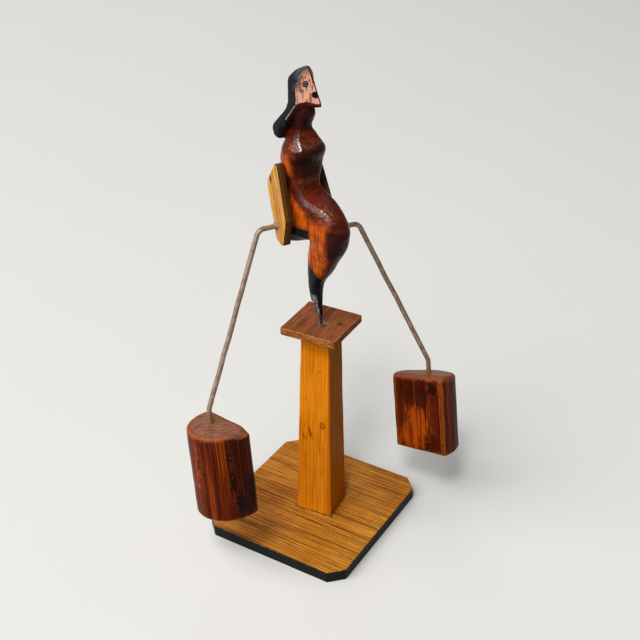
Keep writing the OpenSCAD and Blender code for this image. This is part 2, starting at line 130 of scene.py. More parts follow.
def skinRings(rings):
    bm = bmesh.new()
    rows = [[bm.verts.new(p) for p in ring] for ring in rings]
    count = len(rows[0])
    for low, high in zip(rows, rows[1:]):
        for i in range(count):
            j = (i + 1) % count
            bm.faces.new((low[i], low[j], high[j], high[i]))
    bm.faces.new(rows[0][::-1])
    bm.faces.new(rows[-1])
    return bm


# rings of a plate whose edges are rounded over, from its underside to its top
def plateRings(points, thick, corner, lowEdge, topEdge, inner=(1.2, 3.0), perEdge=10, perCorner=5):
    steps = [(lowEdge + inset, 0.0) for inset in reversed(inner)]
    steps += [(lowEdge * s, lowEdge * c) for s, c in quarterTurn(4)]
    steps += [(0.0, lowEdge + (thick - lowEdge - topEdge) * k / 6) for k in range(1, 6)]
    steps += [(topEdge * c, thick - topEdge * s) for s, c in quarterTurn(4)]
    steps += [(topEdge + inset, thick) for inset in inner]
    return [
        [Vector((p.x, p.y, height)) for p in roundedOutline(points, corner, inset, perEdge, perCorner)]
        for inset, height in steps
    ]


def circleSteps(count):
    angles = [2 * math.pi * k / count for k in range(count)]
    return [(math.cos(angle), math.sin(angle)) for angle in angles]


def turnedShape(profile, count):
    return skinRings([[Vector((r * c, r * s, z)) for c, s in circleSteps(count)] for r, z in profile])


def tubeRings(path, radius, count=16):
    across = Vector((0, 1, 0))
    rings = []
    for i, spot in enumerate(path):
        along = (path[min(i + 1, len(path) - 1)] - path[max(i - 1, 0)]).normalized()
        across = (across - along * across.dot(along)).normalized()
        up = along.cross(across)
        rings.append([spot + (across * c + up * s) * radius for c, s in circleSteps(count)])
    return rings


def newMesh(name, bm):
    mesh = bpy.data.meshes.new(name)
    bm.to_mesh(mesh)
    bm.free()
    return mesh


def newObject(name, data):
    thing = bpy.data.objects.new(name, data)
    scene.collection.objects.link(thing)
    return thing


# a hole or a slot: the tool's shape taken out of the blank
def cutAway(blank, tool):
    pair = []
    for label, shape in (("blank", blank), ("tool", tool)):
        bmesh.ops.recalc_face_normals(shape, faces=shape.faces)
        pair.append(newObject(label, newMesh(label, shape)))
    cut = pair[0].modifiers.new("cut", "BOOLEAN")
    cut.operation, cut.solver, cut.object = "DIFFERENCE", "EXACT", pair[1]
    result = evaluatedShape(pair[0])
    for thing in pair:
        data = thing.data
        bpy.data.objects.remove(thing)
        bpy.data.meshes.remove(data)
    return result


# the shape of an object after its modifiers
def evaluatedShape(thing):
    mesh = bpy.data.meshes.new_from_object(thing.evaluated_get(bpy.context.evaluated_depsgraph_get()))
    bm = bmesh.new()
    bm.from_mesh(mesh)
    bpy.data.meshes.remove(mesh)
    return bm


def keepMark(mesh, label, values):
    mesh.attributes.new(label, "FLOAT", "POINT").data.foreach_set("value", values)


# one finished piece: its own coordinates and paint limits are kept on its points
def addPiece(name, bm, place, body, node, material, marks=None, wobble=None, crease=35):
    bm.verts.ensure_lookup_table()
    own = [v.co.copy() for v in bm.verts]
    if wobble:
        for v in bm.verts:
            v.co += wobble(v.co)
    bm.transform(Matrix.Scale(mm, 4) @ place)
    bmesh.ops.recalc_face_normals(bm, faces=bm.faces)
    mesh = newMesh(name, bm)
    spots = mesh.attributes.new("own", "FLOAT_VECTOR", "POINT")
    spots.data.foreach_set("vector", [c for p in own for c in p])
    for label, measure in (marks or {}).items():
        keepMark(mesh, label, [measure(p) for p in own])
    mesh.shade_smooth()
    mesh.set_sharp_from_angle(angle=math.radians(crease))
    mesh.materials.append(material)
    piece = newObject(name, mesh)
    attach(piece, body)
    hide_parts(node)
    return piece


# a tree of shader nodes, with short words for what the finishes need; an effect lies in the tree's own place
# unless it is given another
class Nodes:
    def __init__(self, tree, place=None):
        self.tree, self.place = tree, place

    def add(self, kind, values=None, **settings):
        node = self.tree.nodes.new(kind)
        for label, value in settings.items():
            setattr(node, label, value)
        for label, value in (values or {}).items():
            self.feed(value, node.inputs[label])
        return node

    def feed(self, value, socket):
        if isinstance(value, bpy.types.NodeSocket):
            self.tree.links.new(value, socket)
        else:
            socket.default_value = value

    def calc(self, operation, *values):
        return self.add("ShaderNodeMath", dict(enumerate(values)), operation=operation).outputs[0]

    def times(self, a, b):
        return self.calc("MULTIPLY", a, b)

    def plus(self, a, b):
        return self.calc("ADD", a, b)

    def minus(self, a, b):
        return self.calc("SUBTRACT", a, b)

    def larger(self, a, b):
        return self.calc("MAXIMUM", a, b)

    def vector(self, operation, a, b):
        return self.add("ShaderNodeVectorMath", {0: a, 1: b}, operation=operation).outputs["Vector"]

    # distance from a spot, with each axis scaled
    def away(self, spot, scale):
        offset = self.vector("MULTIPLY", self.vector("SUBTRACT", self.place, spot), scale)
        return self.add("ShaderNodeVectorMath", {0: offset}, operation="LENGTH").outputs["Value"]

    # smooth step from low to high
    def fade(self, value, low, high, toLow=0.0, toHigh=1.0):
        limits = {"Value": value, "From Min": low, "From Max": high, "To Min": toLow, "To Max": toHigh}
        return self.add("ShaderNodeMapRange", limits, interpolation_type="SMOOTHSTEP").outputs[0]

    def speckle(self, scale, detail=4.0, rough=0.55, place=None):
        values = {"Vector": place or self.place, "Scale": scale, "Detail": detail, "Roughness": rough}
        return self.add("ShaderNodeTexNoise", values).outputs[0]

    # up and down by half the amount
    def ragged(self, scale, amount, rough=0.55):
        return self.times(self.minus(self.speckle(scale, 4.0, rough), 0.5), amount)

    def stretched(self, scale, place=None):
        return self.add("ShaderNodeMapping", {"Vector": place or self.place, "Scale": scale}).outputs[0]

    def turned(self, degrees):
        angles = tuple(math.radians(d) for d in degrees)
        return self.add("ShaderNodeMapping", {"Vector": self.place, "Rotation": angles}).outputs[0]

    def parts(self, place):
        return self.add("ShaderNodeSeparateXYZ", {0: place}).outputs

    # a number that addPiece kept on the points
    def mark(self, label):
        return self.add("ShaderNodeAttribute", attribute_name=label).outputs["Fac"]

    # the shared effects: each hands its group the inputs in order, see the groups below
    def shared(self, name, place, *values):
        inputs = dict(enumerate((place or self.place, *values)))
        return self.add("ShaderNodeGroup", inputs, node_tree=bpy.data.node_groups[name]).outputs

    def grain(self, pith, ringWidth, drift, fineness, stretch=0.045, place=None):
        return self.shared("woodGrain", place, pith, ringWidth, drift, fineness, stretch)

    def patches(self, size, cover, softness, place=None):
        return self.shared("patches", place, size, cover, softness)["Mask"]

    def limit(self, label, uneven, softness, place=None):
        return self.shared("paintLimit", place, self.mark(label), uneven, softness)["Mask"]

    def rubbed(self, label, amount, grit):
        return self.shared("rubbedEdge", None, self.mark(label), amount, grit)["Mask"]

    def scratches(self, spacing, place):
        return self.shared("scratches", place, spacing)["Mask"]


# a new material with its Principled shader, in the colours that a piece's dictionary names
class Finish(Nodes):
    def __init__(self, name, palette, gloss=0.1):
        self.palette = palette
        self.material = bpy.data.materials.new(name)
        self.material.use_nodes = True
        super().__init__(self.material.node_tree)
        self.tree.nodes.clear()
        shader = self.add("ShaderNodeBsdfPrincipled", {"Specular IOR Level": gloss})
        self.add("ShaderNodeOutputMaterial", {"Surface": shader.outputs[0]})
        self.shade = shader.inputs
        # the piece's own coordinates, kept by addPiece
        self.place = self.add("ShaderNodeAttribute", attribute_name="own").outputs["Vector"]

    # the second colour over the first, as far as the mask and the amount say
    def mix(self, mask, first, second, amount=None):
        cover = mask if amount is None else self.times(mask, amount)
        node = self.add("ShaderNodeMix", {0: cover}, data_type="RGBA")
        for value, socket in ((first, node.inputs[6]), (second, node.inputs[7])):
            self.feed((*self.palette[value], 1.0) if isinstance(value, str) else value, socket)
        return node.outputs[2]

    # coats over a ground, each a mask, a colour and, if it isn't all, the amount
    def coats(self, ground, *coats):
        for mask, colour, *amount in coats:
            ground = self.mix(mask, ground, colour, *amount)
        return ground

    # what the finish of a piece ends with; the bump's depth is in millimetres
    def dress(self, colour, roughness, height, strength, depth):
        values = {"Height": height, "Strength": strength, "Distance": depth * mm}
        normal = self.add("ShaderNodeBump", values).outputs[0]
        for label, value in (("Base Color", colour), ("Roughness", roughness), ("Normal", normal)):
            self.feed(value, self.shade[label])
        return self.material


def newGroup(name, inputs, *outputs):
    group = bpy.data.node_groups.new(name, "ShaderNodeTree")
    for label, value in inputs.items():
        kind = "NodeSocketVector" if isinstance(value, tuple) else "NodeSocketFloat"
        group.interface.new_socket(name=label, in_out="INPUT", socket_type=kind).default_value = value
    for label in outputs:
        group.interface.new_socket(name=label, in_out="OUTPUT", socket_type="NodeSocketFloat")
    ends = group.nodes.new("NodeGroupInput").outputs, group.nodes.new("NodeGroupOutput").inputs
    return Nodes(group, ends[0]["Place"]), *ends


# wood: grain runs along z of the place it is given, in millimetres
def makeWoodGrain():
    inputs = {
        "Place": (0, 0, 0), "Pith": (30, 30, 0), "Ring Width": 2.0, "Wander": 3.0, "Fineness": 1.2,
        "Stretch": 0.045,
    }
    g, a, out = newGroup("woodGrain", inputs, "Rings", "Fibres", "Pores", "Height")
    slow = g.stretched((1, 1, 0.22))
    drift = g.add("ShaderNodeTexNoise", {"Vector": slow, "Scale": 0.035, "Detail": 2.0}).outputs["Color"]
    drift = g.vector("SUBTRACT", drift, (0.5, 0.5, 0.5))
    drift = g.add("ShaderNodeVectorMath", {0: drift, 3: a["Wander"]}, operation="SCALE").outputs[0]
    g.place = g.vector("ADD", a["Place"], drift)
    part = g.calc("FRACT", g.calc("DIVIDE", g.away(a["Pith"], (1, 1, 0)), a["Ring Width"]))
    late = g.times(g.fade(part, 0.25, 0.9), g.fade(part, 0.9, 1.0, 1.0, 0.0))
    faint = g.speckle(0.16, 2.0, place=g.stretched((1, 1, 0.06)))
    g.feed(g.times(late, g.fade(faint, 0.32, 0.62, 0.25, 1.0)), out["Rings"])
    thin = g.add("ShaderNodeCombineXYZ", {0: 1.0, 1: 1.0, 2: a["Stretch"]}).outputs[0]
    fibres = g.speckle(a["Fineness"], 5.0, 0.62, g.stretched(thin))
    g.feed(fibres, out["Fibres"])
    thin = g.add("ShaderNodeCombineXYZ", {0: 1.0, 1: 1.0, 2: g.times(a["Stretch"], 2.0)}).outputs[0]
    pores = g.fade(g.speckle(g.times(a["Fineness"], 2.3), 2.0, 0.5, g.stretched(thin)), 0.6, 0.7)
    g.feed(pores, out["Pores"])
    g.feed(g.minus(g.times(fibres, 0.8), g.times(pores, 0.7)), out["Height"])


# edges rubbed bare, broken up by the grit of the surface
def makeRubbedEdge():
    g, a, out = newGroup("rubbedEdge", {"Place": (0, 0, 0), "Edge": 0.0, "Amount": 0.6, "Grit": 0.6}, "Mask")
    grit = g.speckle(a["Grit"], 5.0, 0.65)
    level = g.plus(g.times(a["Edge"], a["Amount"]), g.times(g.minus(grit, 0.5), 0.9))
    g.feed(g.fade(level, 0.36, 0.56), out["Mask"])


# uneven patches of stain, wear or grime
def makePatches():
    g, a, out = newGroup("patches", {"Place": (0, 0, 0), "Size": 8.0, "Cover": 0.4, "Softness": 0.12}, "Mask")
    cloud = g.speckle(g.calc("DIVIDE", 1.0, a["Size"]), 5.0, 0.6)
    middle = g.minus(0.82, g.times(a["Cover"], 0.64))
    g.feed(g.fade(cloud, g.minus(middle, a["Softness"]), g.plus(middle, a["Softness"])), out["Mask"])


# limit of a painted area, from the distance kept on the points, with an uneven brush edge
def makePaintLimit():
    inputs = {"Place": (0, 0, 0), "Distance": 0.0, "Uneven": 0.8, "Softness": 0.15}
    g, a, out = newGroup("paintLimit", inputs, "Mask")
    level = g.plus(a["Distance"], g.ragged(0.7, a["Uneven"], 0.6))
    g.feed(g.fade(level, g.times(a["Softness"], -1.0), a["Softness"]), out["Mask"])


# fine scratches that run along y of the place they are given
def makeScratches():
    g, a, out = newGroup("scratches", {"Place": (0, 0, 0), "Spacing": 1.0}, "Mask")
    lines = g.speckle(g.calc("DIVIDE", 1.0, a["Spacing"]), 3.0, 0.5, g.stretched((1, 0.05, 1)))
    patch = g.speckle(0.12, 2.0)
    g.feed(g.times(g.fade(lines, 0.64, 0.7), g.fade(patch, 0.42, 0.6)), out["Mask"])


makeWoodGrain()
makeRubbedEdge()
makePatches()
makePaintLimit()
makeScratches()
print("shared finishes made")

# lengths in millimetres, colours in linear light, here and for the other pieces
base = {
    "length": 100.0, "width": 106.0, "thick": 8.0, "cut": 8.5, "corner": 0.9, "lowEdge": 0.5, "edge": 0.7,
    "sink": [(5.05, -1.0), (2.05, 2.0), (2.05, 20.0)], "planed": (14, 0.1),
    "gold": (0.50, 0.155, 0.007), "lightGold": (0.78, 0.32, 0.035), "grain": (0.09, 0.024, 0.002),
    "paint": (0.007, 0.009, 0.010), "bareEdge": (0.30, 0.17, 0.09), "glue": (0.09, 0.032, 0.008),
}
column = {
    "foot": 24.0, "head": 18.5, "height": 131.0, "rows": 64, "turn": 6.5, "edge": 1.0, "uneven": 0.22,
    "knots": (((3.4, -11.0, 106.5), 1.0, 0.4), ((5.6, -10.6, 67.8), 1.3, 0.8)),
    "nickSpot": (-4.6, -10.7, 60.5), "nickReach": (5.2, 10.0, 7.5),
    "gold": (0.74, 0.215, 0.004), "light": (0.90, 0.36, 0.02), "grain": (0.36, 0.07, 0.001),
    "knot": (0.11, 0.022, 0.001),
}
capPlate = {
    "side": 36.0, "thick": 4.7, "turn": 2.6, "lowEdge": 0.5, "edge": 0.55, "corner": 0.9, "tackSeat": 5.1,
    "uneven": 0.28, "nailSpots": ((3.7, -4.1), (11.3, 2.1)), "stainReach": 2.0,
    "red": (0.19, 0.052, 0.014), "pale": (0.29, 0.088, 0.027), "dark": (0.06, 0.013, 0.004),
    "bareEdge": (0.52, 0.20, 0.045),
}


def baseFinish():
    t = Finish("baseOak", base)
    rings, fibres, pores, relief = t.grain((-30, 260, 0), 1.9, 2.6, 1.15, 0.013, place=t.turned((0, 90, 3)))
    score = t.scratches(0.9, t.turned((0, 0, 38)))
    # old glue round the foot of the column, darkened further as painted contact shade where the column meets
    # the base
    foot = {"Vector": t.place, "Location": (*standAxis, 0), "Rotation": (0, 0, math.radians(column["turn"]))}
    x, y, _ = t.parts(t.add("ShaderNodeMapping", foot, vector_type="TEXTURE").outputs[0])
    away = t.minus(t.larger(t.calc("ABSOLUTE", x), t.calc("ABSOLUTE", y)), column["foot"] / 2)
    away = t.plus(away, t.ragged(0.35, 5.0))
    # painted rim, rubbed at its edges
    rubbed = t.times(t.rubbed("edge", 0.55, 0.6), 0.6)
    bare = t.times(t.patches(5.0, 0.14, 0.05), 0.25)
    rim = t.mix(t.larger(rubbed, bare), "paint", "bareEdge")
    wood = t.coats(
        t.mix(t.patches(30.0, 0.5, 0.3), "gold", "lightGold"),
        (rings, "grain", 0.75),
        (t.fade(fibres, 0.47, 0.61, 0.0, 0.8), "grain"),
        (pores, "grain", 0.7),
        (score, "grain", 0.55),
        # glue and painted contact shade round the column's foot
        (t.fade(away, 0.2, 2.2, 0.85, 0.0), "glue"),
        (t.limit("rim", 1.0, 0.12), rim),
    )
    rough = t.fade(fibres, 0.3, 0.7, 0.4, 0.58)
    return t.dress(wood, rough, t.minus(relief, t.times(score, 0.5)), 0.6, 0.4)


def columnFinish():
    t = Finish("columnPine", column, 0.02)
    rings, fibres, _, relief = t.grain((70, 16, 0), 2.3, 3.5, 0.9, 0.025)
    cloud = t.patches(16.0, 0.45, 0.3, place=t.stretched((1, 1, 0.35)))
    wood = t.coats(
        t.mix(cloud, "gold", "light", 0.55),
        (rings, "grain", 0.3),
        (t.fade(fibres, 0.48, 0.7, 0.0, 0.6), "grain"),
    )
    for spot, reach, depth in column["knots"]:
        away = t.away(spot, (1, 1, 0.7))
        ring = t.fade(away, reach * 0.9, reach * 1.7, 1.0, 0.0)
        ring = t.times(t.fade(away, reach * 0.4, reach * 0.9), ring)
        halo = t.fade(away, reach * 0.5, reach * 2.6, depth * 0.5, 0.0)
        wood = t.coats(wood, (ring, "knot", depth), (halo, "grain"))
    # cracks and old scratches down the front
    nicks = t.speckle(0.8, 3.0, 0.5, t.stretched((1, 1, 0.2), t.turned((0, 9, 0))))
    away = t.away(column["nickSpot"], tuple(1 / reach for reach in column["nickReach"]))
    nicks = t.times(t.fade(nicks, 0.55, 0.6), t.fade(away, 0.6, 1.1, 1.0, 0.0))
    crack = t.larger(t.scratches(1.3, t.turned((90, 0, 5))), nicks)
    wood = t.coats(
        wood,
        (crack, "knot", 0.75),
        (t.rubbed("edge", 0.5, 0.5), "light", 0.4),
        (t.patches(9.0, 0.2, 0.12), "grain", 0.3),
        # painted shade: the +x side of the post is drawn darker, as the side turned from the lamps
        (t.fade(t.parts(t.place)[0], 8.0, 9.6, 0.0, 0.45), "grain"),
    )
    rough = t.fade(fibres, 0.3, 0.7, 0.32, 0.5)
    return t.dress(wood, rough, t.minus(relief, crack), 0.45, 0.3)


def capFinish():
    t = Finish("capMahogany", capPlate, 0.04)
    rings, fibres, pores, relief = t.grain((9, 60, 0), 3.0, 3.0, 1.3, place=t.turned((90, 0, 8)))
    layers = t.speckle(1.6, 4.0, 0.6, t.stretched((0.12, 0.12, 1)))
    sawn = t.mix(t.fade(layers, 0.42, 0.58), "bareEdge", "red")
    wood = t.coats(
        t.mix(t.fade(fibres, 0.4, 0.62), "pale", "red"),
        (pores, "dark", 0.85),
        (rings, "dark", 0.6),
        (t.patches(6.0, 0.25, 0.14), "dark", 0.5),
        (t.rubbed("edge", 0.55, 0.45), "bareEdge", 0.8),
        (t.limit("rim", 1.2, 0.4), sawn, 0.8),
    )
    # iron stain round the nails
    ragged, reach = t.ragged(0.9, 2.4), capPlate["stainReach"]
    for x, y in capPlate["nailSpots"]:
        away = t.plus(t.away((x, y, 0), (1, 1, 0)), ragged)
        wood = t.mix(t.fade(away, reach * 0.8, reach * 1.2, 0.6, 0.0), wood, "dark")
    rough = t.fade(fibres, 0.3, 0.7, 0.38, 0.58)
    return t.dress(wood, rough, relief, 0.6, 0.35)


def buildBase():
    hx, hy, cut, thick = base["length"] / 2, base["width"] / 2, base["cut"], base["thick"]
    outline = [
        (hx, cut - hy), (hx, hy - cut), (hx - cut, hy), (cut - hx, hy),
        (-hx, hy - cut), (-hx, cut - hy), (cut - hx, -hy), (hx - cut, -hy),
    ]
    rings = plateRings(outline, thick, base["corner"], base["lowEdge"], base["edge"], inner=(1.2, 3.0, 5.5))
    sink = turnedShape(base["sink"], 32)
    bmesh.ops.translate(sink, verts=sink.verts, vec=(*standAxis, 0))
    marks = {
        "edge": lambda p: clampUnit(1 - max(thick - p.z, depthInside(outline, p)) / 2.0),
        "rim": lambda p: min(thick - p.z, p.z) - depthInside(outline, p) - 0.15,
    }

    # the sides are planed a little hollow, never outwards
    def wobble(p):
        if not 0.01 < p.z < thick - 0.01:
            return Vector()
        hollow = wander(p, *base["planed"])
        return Vector((-math.copysign(hollow.x, p.x), -math.copysign(hollow.y, p.y), 0))

    board, place = cutAway(skinRings(rings), sink), Matrix.Identity(4)
    addPiece("baseBoard", board, place, "stand", "base_board", baseFinish(), marks, wobble)


def buildColumn():
    foot, head, height, rows = column["foot"] / 2, column["head"] / 2, column["height"], column["rows"]

    def half(part):
        return foot + (head - foot) * part

    rings = []
    for k in range(rows + 1):
        ring = roundedOutline(squareOutline(half(k / rows)), column["edge"], 0.0, 12, 6)
        rings.append([Vector((p.x, p.y, height * k / rows)) for p in ring])

    def edge(p):
        return clampUnit(1 - (2 * half(p.z / height) - abs(p.x) - abs(p.y)) / 2.6)

    def wobble(p):
        ease = min(1.0, p.z / 4, (height - p.z) / 4)
        return Vector((*wander((p.x, p.y, p.z * 0.45), 9, column["uneven"], 3.1).xy, 0)) * max(ease, 0.0)

    place = move(*standAxis, base["thick"]) @ turn("Z", column["turn"])
    post, marks = skinRings(rings), {"edge": edge}
    addPiece("columnPost", post, place, "stand", "column", columnFinish(), marks, wobble, 50)


# the plate's frame, lifted above its underside
def capPlace(lift):
    return move(*standAxis, base["thick"] + column["height"] + lift) @ turn("Z", capPlate["turn"])


def buildCapPlate():
    square, thick = squareOutline(capPlate["side"] / 2), capPlate["thick"]
    rings = plateRings(square, thick, capPlate["corner"], capPlate["lowEdge"], capPlate["edge"], perEdge=24)
    radius = capPlate["tackSeat"] / 2
    seat = turnedShape([(radius, thick - 1.0), (radius, thick + 1.0)], 32)
    bmesh.ops.translate(seat, verts=seat.verts, vec=(capPlace(0).inverted() @ pivot).xy.to_3d())
    marks = {
        "edge": lambda p: nearEdge(edgeDistances(square, p) + [p.z, thick - p.z], 2.4),
        "rim": lambda p: thick - p.z - depthInside(square, p) - 0.5,
    }

    def wobble(p):
        rough = Vector((*wander((p.x, p.y, p.z * 3), 5, capPlate["uneven"], 5.3).xy, 0))
        return rough * clampUnit(1 - depthInside(square, p) / 2) * 0.8

    plate = cutAway(skinRings(rings), seat)
    addPiece("capPlate", plate, capPlace(0), "stand", "cap_plate", capFinish(), marks, wobble)


buildBase()
buildColumn()
buildCapPlate()
print("stand built")


def ironFinish(name, palette, roughness, shine=(1.0, 0.35)):
    t = Finish(name, palette)
    worn = t.patches(1.6, 0.45, 0.15)
    t.feed(t.fade(worn, 0.0, 1.0, *shine), t.shade["Metallic"])
    rough = t.fade(worn, 0.0, 1.0, *roughness)
    return t.dress(t.mix(worn, "iron", "rust"), rough, t.speckle(1.6, 5.0, 0.6), 0.5, 0.12)


nails = {
    "head": 2.8, "headThick": 0.6, "shank": 1.6, "point": 2.5, "capLength": 18.0, "armLength": 17.0,
    "dents": (0.9, 0.07), "slant": 32,
    "iron": (0.09, 0.046, 0.028), "rust": (0.12, 0.05, 0.022),
}
nailIron = ironFinish("nailIron", nails, (0.55, 0.75), (0.3, 0.1))


def buildNail(name, node, place, body, length, seed):
    head, thick, shank = nails["head"] / 2, nails["headThick"], nails["shank"] / 2
    profile = [
        (0.15, -0.16), (head * 0.55, -0.15), (head * 0.85, -0.06), (head * 0.98, 0.08), (head, thick * 0.5),
        (head * 0.96, thick), (shank, thick + 0.05), (shank, length * 0.5), (shank, length - nails["point"]),
        (0.12, length),
    ]

    def dents(p):
        return wander(p, *nails["dents"], seed) if p.z < thick else Vector()

    addPiece(name, turnedShape(profile, 18), place, body, node, nailIron, None, dents, 50)


capTop = capPlace(capPlate["thick"])
straightSpot, slantedSpot = capPlate["nailSpots"]
straightPlace = capTop @ move(*straightSpot, 0) @ turn("Y", 180)
slantedPlace = capTop @ move(*slantedSpot, -0.1) @ turn("Y", 180 + nails["slant"])
buildNail("straightCapNail", "straight_cap_nail", straightPlace, "stand", nails["capLength"], 1.0)
buildNail("slantedCapNail", "slanted_cap_nail", slantedPlace, "stand", nails["capLength"], 2.0)

screw = {
    "length": 32.0, "head": 3.9, "shank": 2.0, "neck": 2.04, "point": 5, "slot": (0.95, 9.0, 1.6), "turn": 24,
    "iron": (0.32, 0.31, 0.29), "rust": (0.14, 0.10, 0.07),
}


# countersunk screw with a slot, driven up into the column
def buildScrew():
    shank, length = screw["shank"], screw["length"]
    profile = [
        (0.2, 0.03), (3.5, 0.03), (screw["head"], 0.14), (shank, screw["neck"]), (shank, 12.0),
        (shank, length - screw["point"]), (0.2, length),
    ]
    slot = bmesh.new()
    bmesh.ops.create_cube(slot, size=1.0)
    bmesh.ops.scale(slot, vec=screw["slot"], verts=slot.verts)
    slotted = cutAway(turnedShape(profile, 32), slot)
    place = move(*standAxis, 0) @ turn("Z", screw["turn"])
    finish = ironFinish("screwSteel", screw, (0.35, 0.6))
    addPiece("columnScrew", slotted, place, "stand", "column_screw", finish)


# a small turned piece keeps the shape that the frame gives it, without its slivers
def keepShape(name, node, body, finish):
    bm = bmesh.new()
    bm.from_mesh(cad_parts[node].data)
    bm.transform(Matrix.Scale(1 / mm, 4))
    bmesh.ops.remove_doubles(bm, verts=bm.verts, dist=0.003)
    bmesh.ops.dissolve_degenerate(bm, dist=0.003, edges=bm.edges)
    addPiece(name, bm, Matrix.Identity(4), body, node, finish)


tack = {"iron": (0.2, 0.19, 0.18), "rust": (0.07, 0.055, 0.045)}
toePin = {"iron": (0.09, 0.088, 0.085), "rust": (0.045, 0.035, 0.03)}
buildScrew()
keepShape("pivotTack", "pivot_tack", "tack", ironFinish("tackSteel", tack, (0.35, 0.6)))
keepShape("toePin", "toe_pin", "figure", ironFinish("pinSteel", toePin, (0.3, 0.5)))
print("nails and metal done")

figure = {
    "voxel": 0.42, "ridgeFrom": 0.06, "ridgeSpan": 0.16, "headTurn": 22.0, "headAxis": (3.4, -15.4),
    "uneven": (6.5, 0.16, 2.2), "dimples": (1.7, 0.085, 5.1), "keepBelow": 18, "keepAbove": 149.5,
    "eyeSpot": (3.6, 5.1, 143.1), "scuffSpot": (5.5, 3.7, 139.7), "mouthSpot": (0.9, 10.0, 137.7),
    "deep": (0.026, 0.0035, 0.002), "red": (0.16, 0.019, 0.006), "orange": (0.74, 0.135, 0.005),
    # rubbed is the paler brown of worn arrises, and of the painted highlights
    "rust": (0.33, 0.045, 0.003), "rubbed": (0.46, 0.16, 0.085), "black": (0.008, 0.007, 0.008),
    "hair": (0.015, 0.0155, 0.0175), "hairLineWearAndHighlight": (0.42, 0.40, 0.37), "grey": (0.12, 0.13, 0.14),
    "boot": (0.006, 0.006, 0.0065), "scuffAndSheen": (0.26, 0.285, 0.32), "smudgeAndSheen": (0.10, 0.115, 0.135),
    "face": (0.84, 0.36, 0.18), "pale": (0.66, 0.41, 0.34), "crack": (0.19, 0.045, 0.025),
}


# head coordinates: x to its right cheek, y to its front
def headFrame(p):
    c, s = math.cos(math.radians(figure["headTurn"])), math.sin(math.radians(figure["headTurn"]))
    x, y = p.x - figure["headAxis"][0], p.y - figure["headAxis"][1]
    return Vector((x * c + y * s, -x * s + y * c, p.z))


# value of a line through the given corners
def along(corners, x):
    if x <= corners[0][0]:
        return corners[0][1]
    for (x0, y0), (x1, y1) in zip(corners, corners[1:]):
        if x <= x1:
            return y0 + (y1 - y0) * (x - x0) / (x1 - x0)
    return corners[-1][1]


# how deep a point lies inside a round spot of the head, the same on both cheeks
def headSpot(p, label, reach, stretch=(1, 1, 1)):
    h = headFrame(p)
    away = Vector([(c - m) * k for c, m, k in zip((abs(h.x), h.y, h.z), figure[label], stretch)])
    return reach - min(away.length, reach + 3)


# paint limits as distances in millimetres, positive inside
def faceMark(p):
    h = headFrame(p)
    crown = along([(0, 151.4), (2.8, 150.1), (5.6, 147.0), (7.3, 142.4), (8.0, 138.0)], abs(h.x))
    jaw = along([(0, 132.9), (1.5, 133.0), (4.0, 134.1), (6.0, 133.3), (7.6, 131.9)], abs(h.x))
    return min(h.y - 1.35, (crown - h.z) * 0.6, h.z - jaw)


def hairMark(p):
    h = headFrame(p)
    if h.z > 134.5:
        return -faceMark(p)
    back = along([(108, -9.5), (123.5, -3.9), (131.6, 1.4), (134.5, 1.4)], h.z)
    return min(back - h.y, max(h.z - 116, min(h.z - 107.5, -h.y - 8.0)))


def bootMark(p):
    return 31.5 - p.z - p.y * 0.6 + p.x * 0.85


def mouthMark(p):
    h = headFrame(p)
    line = 0.45 - abs(h.x) - max(0, 133 - p.z) - max(0, 3 - h.y)
    return max(headSpot(p, "mouthSpot", 1.6, (0.8, 0.7, 0.9)), line)


# stain worn to orange: the flat of the hips, the sides of the calf, the lower chest
def bareMark(p):
    out = abs(p.x)
    crease = along([(60.6, 3.5), (70.4, 4.0), (74.8, -0.9), (79.6, -9.5), (84, -16)], p.z)
    hip = min(crease - p.y, p.z - 62.5, 82 - p.z, out - 6.0)
    side = p.x - 2.4 if p.x > 0 else out - 6.2
    calf = min(side - max(p.y - 10, 0) * 0.35, 69 - p.z - max(3 - p.y, 0) * 3, bootMark(p) * -0.7 - 1.0)
    chest = min(out - 8.0, 103.0 - p.z, p.z - 90.5, -7.5 - p.y) * 0.8 - 0.5
    return max(hip, calf, chest)


# stain drawn deeper with painted shade: the neck under the head, under the bust, the front of the knee
def stainAndShadeMark(p):
    neck = min(p.z - 116.5, 132.5 - p.z)
    bust = max(min(103.5 - p.z, p.z - 90.0, p.y + 10.5), min(111.0 - p.z, p.z - 96.0, p.y + 7.5))
    knee = min(p.y - 13.0, 66.0 - p.z)
    return max(neck, bust, knee)


# painted shade: the underside of the seat, drawn black
def seatShadeMark(p):
    flat = min(62.4 - p.z, 1.5 - p.y, p.z - 54, p.x + 2)
    return max(flat, min(57 - p.z, -4 - p.y, p.z - 44))


# painted highlights in a paler brown: the line of the bust, the crease of the waist, the top of the thigh
def paintedHighlightMark(p):
    bust = min(1.3 - abs(p.z - 109.4 + p.x * 0.06), p.y + 13, p.x + 7)
    waist = 0.6 - abs(p.z - 88.4)
    thigh = 4.0 - (p - Vector((3.0, 10.0, 75.0))).length * 0.7
    return max(bust, waist, thigh, -6)


figureMarks = {
    "hair": hairMark, "face": faceMark, "mouth": mouthMark, "boot": bootMark, "bare": bareMark,
    "deep": stainAndShadeMark, "seat": seatShadeMark, "paintedHighlight": paintedHighlightMark,
    "eye": lambda p: headSpot(p, "eyeSpot", 1.7),
    "scuff": lambda p: headSpot(p, "scuffSpot", 0.95, (0.7, 0.7, 1.0)),
    # pale line along the lower edge of the hair: worn paint, with a painted highlight on that edge
    "hairLineWearAndHighlight": lambda p: min(0.3 - abs(hairMark(p)), p.z - 122.5, 131.5 - p.z),
    # flanks behind the arms, where no varnish reached
    "flank": lambda p: min(abs(p.x - 2.0) - 9.5, -10.5 - p.y, p.z - 62, 97 - p.z),
    # painted reflection, in streaks, on the flank of the boot above the toe
    "toe": lambda p: min(p.x - p.z * 0.13 - 0.4, p.z - 2.5, 18.5 - p.z),
}


